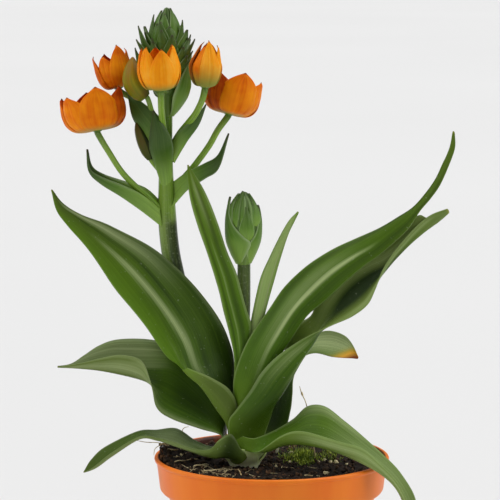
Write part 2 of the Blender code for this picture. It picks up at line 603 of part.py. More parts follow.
def make_soil(material):
    """Soil that fills the pot, with a plain hole for the bulb and its neck."""
    step = POT_HEIGHT - POT_BAND
    clear = POT_WALL + GAP + SOIL_PLAY
    neck = POT_RIM_RADIUS - POT_NECK_INSET - clear + 0.3
    brim = POT_RIM_RADIUS - POT_BAND_INSET - clear + 0.3
    foot = POT_FOOT_RADIUS - clear - 0.1
    level = SOIL_LEVEL
    profile = [(0, POT_FLOOR + GAP), (foot, POT_FLOOR + GAP), (neck, step - 1.4), (brim, step + 2.0),
               (brim + 0.5, level - 1.5), (brim - 1.5, level)]
    profile += [(ring, level) for ring in SOIL_RINGS] + [(0, level)]
    soil = turned("soil", profile, POT_SEGMENTS, (0, 0), material)
    for vert in soil.data.vertices:
        x, y, z = vert.co / MM
        if z > level - 0.5:
            vert.co.z = soil_height(x, y) * MM
        elif z > level - 2:
            vert.co.z = (soil_height(x, y) - 2.0) * MM
    cut(soil, turned("bulb_hole", neck_profile(GAP), BULB_SEGMENTS, NECK_AT, material))
    return soil


def make_leaf(name, stations, rows, material):
    grid = blade_grid(stations, rows, LEAF_COLS)
    return sheet(name, grid, leaf_thickness(LEAF_EDGE, LEAF_MIDDLE), material)


def make_bract(name, stations, material):
    grid = blade_grid(stations, BRACT_ROWS, BRACT_COLS)
    return sheet(name, grid, leaf_thickness(LEAF_EDGE, BRACT_MIDDLE), material)


def make_main_stalk(material):
    """The stalk with its flower stalks and large bracts, grown as one piece."""
    stalk = tube("stalk_main", MAIN_STALK, MAIN_STALK_RADII, MAIN_STALK_SIDES, material, MAIN_STALK_RINGS)
    others = [tube("flower_stalk", path, radii, FLOWER_STALK_SIDES, material, FLOWER_STALK_RINGS)
              for path, radii in FLOWER_STALKS.values()]
    others += [make_bract("bract", stations, material) for stations in BRACTS.values()]
    return fuse(stalk, others)


def turn_to(axis, facing=0.0):
    """A frame whose Z runs along the axis and whose X faces that many degrees round from +X."""
    up = Vector(axis).normalized()
    side = Vector((math.cos(math.radians(facing)), math.sin(math.radians(facing)), 0.0))
    side = (side - up * side.dot(up)).normalized()
    return Matrix((side, up.cross(side), up)).transposed()


def petal_grid(shape, turn, inset):
    """Points on one petal of a cup: out from the seat, up the belly and in or out to the mouth."""
    belly, mouth, tall, wide = shape["belly"], shape["mouth"], shape["height"], shape["petal"]
    shoulder = (belly + mouth) / 2
    radii = [1.6, belly * 0.62, belly * 0.89, belly, shoulder, mouth]
    heights = [1.4, tall * 0.09, tall * 0.25, tall * 0.5, tall * 0.78, tall]
    widths = [1.2, wide * 0.7, wide, wide, wide * 0.82, PETAL_TIP]
    grid = []
    for row in range(PETAL_ROWS + 1):
        place = row / PETAL_ROWS
        step = inset * min(1.0, place * 3)
        radius = smooth_value(radii, place) - step
        height = smooth_value(heights, place) + step * (0.5 - place)
        width = max(smooth_value(widths, place), PETAL_TIP)
        line = []
        for col in range(PETAL_COLS + 1):
            u = 2.0 * col / PETAL_COLS - 1.0
            swing = turn + u * width / max(radius, width * 0.9)
            cup = radius - PETAL_FLATNESS * u * u * width * place
            line.append(Vector((cup * math.cos(swing), cup * math.sin(swing), height)))
        grid.append(line)
    return grid


def flower_point(shape, point):
    """From a flower's own frame, Z along its axis and the end of its stalk at 0, to the part's."""
    return Vector(shape["at"]) + turn_to(shape["axis"], shape["facing"]) @ Vector(point)


def make_flower(name, shape, material):
    """Six petals in two rings of three, on a small round seat."""
    seat_path = [flower_point(shape, (0, 0, height)) for height in (GAP, SEAT_HEIGHT / 2, SEAT_HEIGHT)]
    seat_radii = [SEAT_RADIUS * 0.5, SEAT_RADIUS, SEAT_RADIUS * 0.75]
    seat = tube(name, seat_path, seat_radii, FLOWER_STALK_SIDES, material, SEAT_RINGS)
    petals = []
    for ring in range(2):
        for petal in range(3):
            turn = 2 * math.pi * (petal + ring / 2) / 3
            grid = petal_grid(shape, turn, ring * PETAL_RING_STEP)
            grid = [[flower_point(shape, point) for point in line] for line in grid]
            petals.append(sheet("petal", grid, lambda row, u: PETAL_THICKNESS, material))
    return fuse(seat, petals)


def make_heart(name, shape, material):
    """The ovary with its style and six stamens, standing in the cup."""
    low = SEAT_HEIGHT + GAP
    ovary_path = [flower_point(shape, (0, 0, low + rise)) for rise in (0.0, 1.7, 5.2, 7.2, 8.7)]
    ovary = tube(name, ovary_path, [2.3, 2.7, 2.0, 0.7, 0.5], FLOWER_STALK_SIDES, material)
    reach = min(shape["belly"] * 0.42, STAMEN_REACH)
    stamens = []
    for stamen in range(STAMENS):
        turn = 2 * math.pi * (stamen + 0.5) / STAMENS
        path = [flower_point(shape, (out * math.cos(turn), out * math.sin(turn), low + rise))
                for out, rise in ((1.7, 1.1), (reach, 5.7), (reach, 8.7))]
        stamens.append(tube("stamen", path, [0.7, 0.6, 0.9], STAMEN_SIDES, material))
    return fuse(ovary, stamens)


def make_bud(name, path, radius, material):
    path = [Vector(point) for point in path]
    shares = (0.0, 0.2, 0.5, 0.8, 1.0)
    radii = [radius * 0.45, radius * 0.85, radius, radius * 0.65, 0.5]
    return tube(name, [smooth_point(path, share) for share in shares], radii, BUD_SIDES,
                material, BUD_RINGS)


def wrap_grid(head, facing, stations, rows, cols):
    """Points on a bract wrapped round a head; a station is (height, half its angle, way out)."""
    foot = Vector(head["foot"])
    axis = Vector(head["tip"]) - foot
    frame = turn_to(axis)
    stations = [Vector(station) for station in stations]
    grid = []
    for row in range(rows + 1):
        height, half, out = smooth_point(stations, row / rows)
        reach = smooth_value(head["core"], min(max(height / axis.length, 0.0), 1.0)) + out
        half = max(half, PETAL_TIP / reach)
        line = []
        for col in range(cols + 1):
            u = 2.0 * col / cols - 1.0
            swing = facing + u * half
            ridge = reach + SCALE_CREASE * (1 - abs(u))
            line.append(foot + frame @ Vector((ridge * math.cos(swing), ridge * math.sin(swing), height)))
        grid.append(line)
    return grid


def head_scale(head, place, facing, material, draw):
    """One pointed bract of a head, rooted in the core, its tip standing off."""
    tall = (Vector(head["tip"]) - Vector(head["foot"])).length
    length = smooth_value(head["length"], place) * draw.uniform(0.92, 1.08)
    lean = smooth_value(head["lean"], place) * draw.uniform(0.9, 1.1)
    width = smooth_value(head["width"], place) / smooth_value(head["core"], place)
    stations = [(place * tall + length * share, min(width * spread, 1.2), out * (lean if out > 0 else 1))
                for share, spread, out in SCALE_STATIONS]
    grid = wrap_grid(head, facing, stations, SCALE_ROWS, SCALE_COLS)
    return sheet("scale", grid, leaf_thickness(LEAF_EDGE, SCALE_MIDDLE), material)


def head_bract(head, facing, stations, material):
    """One large bract round a head, from its foot to its free tip."""
    stations = [(height, math.radians(half), out) for height, half, out in stations]
    grid = wrap_grid(head, math.radians(facing), stations, WRAP_ROWS, WRAP_COLS)
    return sheet("bract", grid, leaf_thickness(LEAF_EDGE, BRACT_MIDDLE), material)


def make_head(name, head, bracts, material, seed):
    """A head of bracts set round a tapered core, each turned by the golden angle."""
    draw = random.Random(seed)
    foot, tip = Vector(head["foot"]), Vector(head["tip"])
    path = [foot.lerp(tip, ring / (len(head["core"]) - 1)) for ring in range(len(head["core"]))]
    core = tube(name, path, head["core"], HEAD_SIDES, material, HEAD_RINGS)
    others = [head_bract(head, facing, stations, material) for facing, stations in bracts.values()]
    for scale in range(head["scales"]):
        place = head["first"] + (scale + 0.5) / head["scales"] * (head["last"] - head["first"])
        others.append(head_scale(head, place, GOLDEN_ANGLE * scale + head["turn"], material, draw))
    return fuse(core, others)


def make_part():
    clear_scene()
    leaf_green = finish_of("leaf_green", (0.045, 0.12, 0.02), 0.38)
    stalk_green = finish_of("stalk_green", (0.06, 0.13, 0.03), 0.45)
    bract_green = finish_of("bract_green", (0.08, 0.18, 0.035), 0.5)
    petal_orange = finish_of("petal_orange", (0.82, 0.25, 0.02), 0.5)
    heart_green = finish_of("heart_green", (0.10, 0.12, 0.02), 0.5)
    bud_olive = finish_of("bud_olive", (0.20, 0.19, 0.04), 0.5)
    neck_pale = finish_of("neck_pale", (0.25, 0.30, 0.14), 0.5)
    soil_brown = finish_of("soil_brown", (0.03, 0.02, 0.012), 0.95)
    pot_orange = finish_of("pot_orange", (0.75, 0.18, 0.03), 0.45)

    make_pot(pot_orange)
    make_soil(soil_brown)
    turned("bulb_neck", neck_profile(), BULB_SEGMENTS, NECK_AT, neck_pale)
    for name, stations in LEAVES.items():
        make_leaf(name, stations, LEAF_ROWS.get(name, LEAF_ROWS_PLAIN), leaf_green)
    make_main_stalk(stalk_green)
    tube("stalk_short", SHORT_STALK, SHORT_STALK_RADII, SHORT_STALK_SIDES, stalk_green,
         SHORT_STALK_RINGS)
    make_head("head_main", MAIN_HEAD, MAIN_HEAD_BRACTS, bract_green, RANDOM_SEED)
    make_head("head_short", SHORT_HEAD, SHORT_HEAD_BRACTS, bract_green, RANDOM_SEED + 1)
    for name, shape in FLOWERS.items():
        make_flower(name, shape, petal_orange)
        make_heart(name + "_heart", shape, heart_green)
    for name, (path, radius) in SINGLE_BUDS.items():
        make_bud(name, path, radius, bud_olive)


make_part()
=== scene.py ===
"""Looks of a star-of-bethlehem with orange flowers in its plastic nursery pot.

Metres, +Z up, front towards -Y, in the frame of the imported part. Lengths in the tables are
millimetres, the same as in the part's source, and are scaled once, where a shape is made.
"""
import math
import random

import bpy
from mathutils import Matrix, Vector, noise


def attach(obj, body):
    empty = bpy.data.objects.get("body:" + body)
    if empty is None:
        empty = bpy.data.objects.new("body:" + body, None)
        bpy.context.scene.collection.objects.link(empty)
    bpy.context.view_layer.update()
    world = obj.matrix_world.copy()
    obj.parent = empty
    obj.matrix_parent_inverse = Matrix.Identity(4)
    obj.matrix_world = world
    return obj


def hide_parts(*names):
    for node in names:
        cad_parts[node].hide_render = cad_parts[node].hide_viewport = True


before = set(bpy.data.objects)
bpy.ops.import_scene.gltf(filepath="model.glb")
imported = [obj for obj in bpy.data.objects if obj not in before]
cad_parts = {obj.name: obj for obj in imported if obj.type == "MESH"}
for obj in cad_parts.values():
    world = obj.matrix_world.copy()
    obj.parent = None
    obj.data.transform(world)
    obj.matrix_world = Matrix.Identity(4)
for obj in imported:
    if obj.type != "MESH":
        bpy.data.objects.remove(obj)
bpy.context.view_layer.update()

MM = 0.001
WELD = 0.00001
STEM_END_SHARE = 0.015
SEED = 7
# The ripple of the leaves is noise with an offset that would follow the clock without a seed
noise.seed_set(SEED)
GOLDEN_ANGLE = math.radians(137.5)

# Stalks: the path and its radii, and between which heights the main one turns from old to fresh
MAIN_STALK = [(-16, -6.5, 111.8), (-17, -5.6, 121), (-23.5, -1, 138), (-35, 2, 159), (-44.6, 5, 181),
              (-49.6, 7, 199), (-52, 7.5, 212), (-53.3, 7.5, 228), (-53.7, 7, 246), (-53.9, 6.5, 261),
              (-53.3, 6.5, 277)]
MAIN_STALK_RADII = [3.4, 3.6, 4.0, 4.4, 4.6, 4.7, 4.7, 4.6, 3.8, 3.5, 3.0]
FRESH_STALK = (222, 232)
SHORT_STALK = [(-9, -7.2, 111.8), (-11, -7, 130), (-14.2, -5.5, 160), (-14.2, -4.5, 186),
               (-14.2, -4, 203)]
SHORT_STALK_RADII = [2.4, 2.6, 3.0, 3.3, 3.3]
FLOWER_STALKS = {
    "flower_1": ([(-55, 7, 229), (-62, 3.5, 236.5), (-69.2, 1.5, 243.2), (-76, -1, 251), (-82, -4.5, 261),
                  (-87, -8, 270.2)], [1.9, 1.7, 1.6, 1.5, 1.5, 1.6]),
    "flower_2": ([(-54, 7, 260), (-56.6, 10.5, 270), (-61.6, 11.5, 279.5), (-69.5, 10.5, 286),
                  (-76.6, 8.3, 290.6)], [1.7, 1.5, 1.4, 1.4, 1.5]),
    "flower_3": ([(-54, 5, 260), (-54.4, -0.5, 268), (-54.9, -6.5, 276), (-55.3, -13, 284),
                  (-55.2, -19, 291.5)], [1.9, 1.8, 1.7, 1.6, 1.7]),
    "flower_4": ([(-52, 7, 260), (-47, 3.4, 269), (-42, -1, 275.4), (-38.2, -5, 280.6),
                  (-35.1, -6.5, 287), (-33.7, -7, 292.3)], [1.8, 1.7, 1.7, 1.6, 1.6, 1.7]),
    "flower_5": ([(-50.5, 8.5, 238), (-45.5, 8, 245.5), (-39.5, 8.5, 252.6), (-32, 10, 262.7),
                  (-27.4, 12, 270.7), (-22.5, 14, 277.3)], [1.8, 1.7, 1.6, 1.6, 1.6, 1.7]),
    "bud_left": ([(-54, 5, 264), (-57, 1, 272), (-60, -2, 280), (-62.3, -4.7, 287.8)],
                 [1.6, 1.4, 1.3, 1.3]),
    "bud_low": ([(-55, 7, 249), (-58, 4.5, 252.5), (-60.8, 3, 256)], [1.8, 1.5, 1.3]),
}

# Large bracts of the main stalk: near edge, rib and far edge at each station, and the share of its
# length from which each turns from pale to green
BRACT_PALE_FEET = {"left": 0.34, "right": 0.22, "front": 0.02, "left_back": 0.22, "right_high": 0.22}
BRACTS = {
    "left": [
        ((-57, 3.5, 231.5), (-55.5, 5, 222.5), (-55, 8.5, 233)),
        ((-65.6, -1.5, 239.2), (-65, 1.2, 230.6), (-64, 7, 241.6)),
        ((-75.5, -2.5, 244.2), (-76, 0, 238.4), (-75, 5.5, 245.4)),
        ((-85.5, -2, 248), (-86.2, 0, 244.8), (-85, 3.5, 249)),
        ((-91.6, -1.5, 252.2), (-92, -0.5, 251), (-90.8, 1.2, 253.4)),
        ((-93.2, -0.3, 262), (-93.2, 0, 262), (-92.8, 0.3, 262)),
    ],
    "right": [
        ((-51, 4.5, 232), (-49.4, 6.5, 238), (-50, 6.5, 245)),
        ((-42.4, 0, 241.6), (-42.4, 1.8, 246), (-42.3, 4, 250.4)),
        ((-33.8, -1, 247.2), (-33.8, 1, 250.7), (-34, 3.3, 254.5)),
        ((-26.8, -1, 252.6), (-26.9, 0.2, 255.6), (-27.3, 2.2, 258.8)),
        ((-21.8, -0.3, 269.6), (-21.8, 0, 270), (-22, 0.3, 270)),
    ],
    "front": [
        ((-56.6, 5.6, 246), (-53.7, 4.6, 241), (-50.8, 5.6, 246)),
        ((-59.6, 1.5, 255.5), (-55, 0.4, 254), (-50.2, 2, 256.5)),
        ((-61.6, -3.5, 263.5), (-56.3, -6.6, 263), (-49.9, -4.5, 264.5)),
        ((-61, -6.5, 271.5), (-56.7, -9.2, 270.5), (-52.3, -7.5, 271.5)),
        ((-59.5, -8.3, 281.9), (-59.3, -8.5, 282.2), (-59.1, -8.3, 281.9)),
    ],
    "left_back": [
        ((-57, 2.8, 254), (-55.2, 2.2, 256), (-53.2, 3, 263)),
        ((-64, 1, 268.6), (-61, -2.4, 270.5), (-55.2, -3.4, 276.6)),
        ((-70, 1, 277.6), (-67, -1.6, 280), (-62.6, -3, 283.6)),
        ((-72.7, 1.8, 290), (-72.5, 2, 290.5), (-72.3, 2.2, 290)),
    ],
    "right_high": [
        ((-51, 2.6, 264), (-49.8, 4, 255), (-51, 9, 262)),
        ((-47.4, -1, 270.6), (-43.4, 0.3, 266), (-44.6, 5.5, 270)),
        ((-40.4, -2.2, 277), (-37.2, 0, 274.6), (-38.6, 4, 277.4)),
        ((-33.4, 1.8, 284.3), (-33.3, 2, 284.5), (-33.4, 2.2, 284.4)),
    ],
}

# Flowers: where each stands, the way it opens, the way its first petal faces in degrees, the form
# of its cup, where its petals start to taper, and for each petal, counted round from the one that
# faces the front, its share of the height and how much further it opens
PETAL_RING_STEP = 1.0
PETAL_FLATNESS = 0.14
PETAL_TIP = 0.45
SEAT_RADIUS = 2.9
SEAT_HEIGHT = 3.0
STAMEN_REACH = 4.7
STAMENS = 6
OVARY_RADII = [2.3, 2.7, 2.0, 0.7, 0.5]
FILAMENT_RADII = [0.8, 0.75, 0.5, 0.35]
ANTHER_RADII = [0.4, 0.75, 0.75, 0.4]
FLOWERS = {
    "flower_1": {"at": (-87.1, -8, 271), "axis": (-0.18, 0.13, 1.0), "facing": -77, "height": 20.4,
                 "belly": 16.6, "mouth": 16.8, "petal": 10.6, "taper": 0.68,
                 "reach": (1.06, 1.06, 1.0, 1.1, 1.0, 0.97), "open": (0, 0, 0, 0, 0, 0.6)},
    "flower_2": {"at": (-77.2, 8, 291.4), "axis": (-0.24, 0.1, 1.0), "facing": -60, "height": 22.0,
                 "belly": 9.6, "mouth": 9.0, "petal": 6.8, "taper": 0.6,
                 "reach": (1.0, 0.93, 0.95, 0.92, 0.88, 0.84), "open": (0, 0, 0, 0, 0.6, 0.4)},
    "flower_3": {"at": (-55.2, -19, 292), "axis": (-0.06, -0.08, 1.0), "facing": -78, "height": 23.5,
                 "belly": 11.0, "mouth": 9.0, "petal": 7.3, "taper": 0.62,
                 "reach": (0.95, 1.03, 0.95, 0.94, 0.95, 1.02), "open": (0.5, 0, 0, 0, 0, 0)},
    "flower_4": {"at": (-33.6, -7, 292.8), "axis": (0.06, -0.05, 1.0), "facing": -72, "height": 24.5,
                 "belly": 8.4, "mouth": 2.4, "petal": 5.8, "taper": 0.58,
                 "reach": (1.0, 0.93, 0.95, 0.96, 0.96, 0.92), "open": (0, 4.2, 0, 0, 0, 0)},
    "flower_5": {"at": (-22.3, 14, 277.7), "axis": (0.24, 0.14, 1.0), "facing": -75, "height": 21.5,
                 "belly": 15.0, "mouth": 14.6, "petal": 10.0, "taper": 0.72,
                 "reach": (1.04, 0.97, 0.86, 0.86, 0.95, 0.98), "open": (0, 0, 0, 0, 0, 0)},
}

# How each flower looks: how green its base is, how far up that reaches, and how deep the orange of
# each petal is, counted round from the one that faces the front; above 1 it is browned by that much
FLOWER_LOOKS = {"flower_1": (0.55, 0.34, (0.5, 0.8, 0.8, 0.65, 0.6, 0.48)),
                "flower_2": (0.5, 0.3, (0.45, 0.45, 0.6, 0.7, 0.6, 0.5)),
                "flower_3": (1.0, 0.44, (0.26, 0.22, 0.3, 0.45, 0.4, 0.2)),
                "flower_4": (0.95, 0.7, (0.18, 0.22, 0.3, 0.5, 1.75, 1.6)),
                "flower_5": (0.6, 0.26, (0.52, 0.48, 0.65, 0.7, 0.75, 0.9))}

# Single buds: the path from foot to tip, the radius and how dark the bud is
SINGLE_BUDS = {
    "bud_left": ([(-63.4, -5, 288.2), (-69.4, -6, 296.5), (-69.7, -5, 308.8)], 5.6, 0.1),
    "bud_low": ([(-61.3, 2.8, 256.6), (-64.8, 1.2, 266.2), (-68.4, -0.5, 275.5)], 3.5, 0.75),
}

# Heads of bracts: at each station a small bract has a share of its length, a share of its width,
# and how far out it stands: below 0 in the core, in millimetres, and above 0 as a share of the lean
SCALE_STATIONS = ((0.0, 0.7, -1.8), (0.25, 1.0, 0.1), (0.5, 0.86, 0.5), (0.75, 0.45, 0.85),
                  (1.0, 0.03, 1.15))
MAIN_HEAD = {"foot": (-53.3, 6.5, 277.4), "tip": (-53, 8, 333), "scales": 21, "first": 0.15,
             "last": 0.6, "turn": 0.4, "core": [3.0, 3.8, 6.2, 7.3, 6.2, 5.3, 1.0],
             "length": [14, 14.5, 15, 14, 12], "lean": [3.6, 4.4, 4.6, 3.4, 2.0],
             "width": [2.8, 3.2, 3.6, 3.8, 3.6]}
SHORT_HEAD = {"foot": (-14.3, -4, 203.3), "tip": (-14.1, -4, 241), "scales": 5, "first": 0.28,
              "last": 0.6, "turn": 4.9, "core": [3.0, 5.4, 7.3, 7.8, 7.4, 5.6, 1.2],
              "length": [20, 20, 18, 14, 10], "lean": [0.8, 0.8, 0.8, 0.7, 0.5],
              "width": [3.6, 3.6, 3.8, 3.6, 2.6]}

# Large bracts round a head: the way each faces, in degrees, and at each station its height in
# millimetres, half the angle that it covers in degrees and how far out it stands
MAIN_HEAD_BRACTS = {
    "right": (-12, [(1.2, 40, -0.4), (5, 52, 2.8), (10, 58, 5.6), (15, 52, 6.0), (20, 40, 5.0),
                    (25, 24, 4.6), (30, 8, 4.8), (33, 3, 5.4)]),
}
SHORT_HEAD_BRACTS = {
    "left": (-168, [(1.4, 60, -0.6), (6, 88, 0.2), (12, 104, 0.7), (15.5, 80, 0.8), (20.6, 46, 0.9),
                    (26.5, 18, 1.2), (31, 8, 1.8), (35.2, 3, 3.7)]),
    "right": (-6, [(1.6, 50, -0.8), (7, 70, -0.2), (12, 66, 0.2), (16, 44, 0.4), (21, 27, 0.5),
                   (26.5, 13, 0.6), (31, 4, 0.9)]),
}

# Bracts that stand off the main head: the way each faces in degrees, its half width, and its
# height and way from the axis at its foot, its middle and its tip; they are drawn wider by the
# share below and cupped, so that their edges bend back to the head
SIDE_SCALES = (
    (-30, 3.4, (31, 6.2), (41, 9.2), (49.4, 9.2)), (-12, 3.6, (26, 6.8), (36, 10.2), (44.4, 10.8)),
    (-30, 3.6, (23, 7.0), (32, 12.6), (40, 16.6)), (-26, 3.6, (19, 6.8), (28, 11.2), (34, 14.8)),
    (-34, 3.4, (15, 6.0), (24, 10.4), (30, 14.6)), (196, 3.8, (29, 6.2), (42, 8.8), (52, 6.6)),
    (204, 3.6, (28, 6.8), (38, 13.2), (46.4, 15.4)), (212, 3.4, (25, 7.0), (34, 14.4), (39.6, 17.6)),
    (201, 5.0, (13, 6.2), (25, 14.4), (35.4, 16.8)), (-128, 4.2, (23, 7.0), (33, 10.6), (40.4, 11.4)),
    (60, 3.4, (28, 6.8), (38, 9.4), (47, 10.0)), (95, 3.4, (24, 7.0), (34, 10.6), (42, 12.6)),
    (125, 3.4, (29, 6.8), (39, 9.4), (48, 10.2)), (75, 3.4, (18, 6.8), (27, 10.6), (34, 13.0)),
    (140, 3.2, (20, 6.8), (29, 11.2), (36, 13.6)), (-60, 3.2, (22, 7.2), (31, 9.2), (39, 10.0)),
    (-100, 3.6, (25, 7.2), (34, 8.8), (42, 9.0)), (40, 3.4, (16, 6.4), (24, 10.0), (30, 12.4)),
    (110, 3.4, (13, 5.6), (21, 9.6), (27, 12.0)), (160, 3.2, (13, 5.6), (21, 9.6), (26, 12.0)),
    (15, 3.4, (25, 6.8), (34, 10.4), (42, 12.4)), (172, 3.4, (25, 7.0), (34, 11.0), (42, 13.0)))
SIDE_SCALE_WIDTH = 1.25
SIDE_SCALE_CUP = 0.75

# Dome of the main head: broad closed bracts, each with the way it faces in degrees, the height of
# its foot and its tip, half its angle and its way out; and at each station, shares of those three
DOME = ((-105, 28, 52.6, 36, 0.5), (-32, 30, 55.2, 46, 0.7), (-165, 30, 54.0, 40, 0.6),
        (75, 30, 54.4, 46, 0.5), (20, 28, 52.4, 38, 0.7), (130, 29, 53.2, 42, 0.6),
        (-76, 24, 46.0, 42, 1.2), (-140, 22, 47.5, 30, 1.3), (-8, 23, 46.5, 30, 1.3),
        (100, 24, 47.0, 36, 1.2))
DOME_STATIONS = ((0.0, 0.8, -1.0), (0.3, 1.0, 1.0), (0.6, 0.95, 1.0), (0.85, 0.6, 1.0), (1.0, 0.05, 0.8))

# Young buds behind the bracts of the main head: the way out from its core and the height above the
# bract's foot; closed buds of the short head: the way each faces, the share of the height, the way out
YOUNG_BUD = ((-1.5, 0), (0.4, 3), (1.0, 7.5), (0.8, 10))
YOUNG_BUD_RADII = [1.2, 2.6, 2.0, 0.4]
CLOSED_BUDS_FACING = (-128, -92, -54, 0, 60, 120, 180)
CLOSED_BUD = ((0.38, -2.8), (0.6, -2.3), (0.8, -1.9), (0.98, -1.0))
CLOSED_BUD_RADII = [2.2, 2.8, 2.3, 0.5]

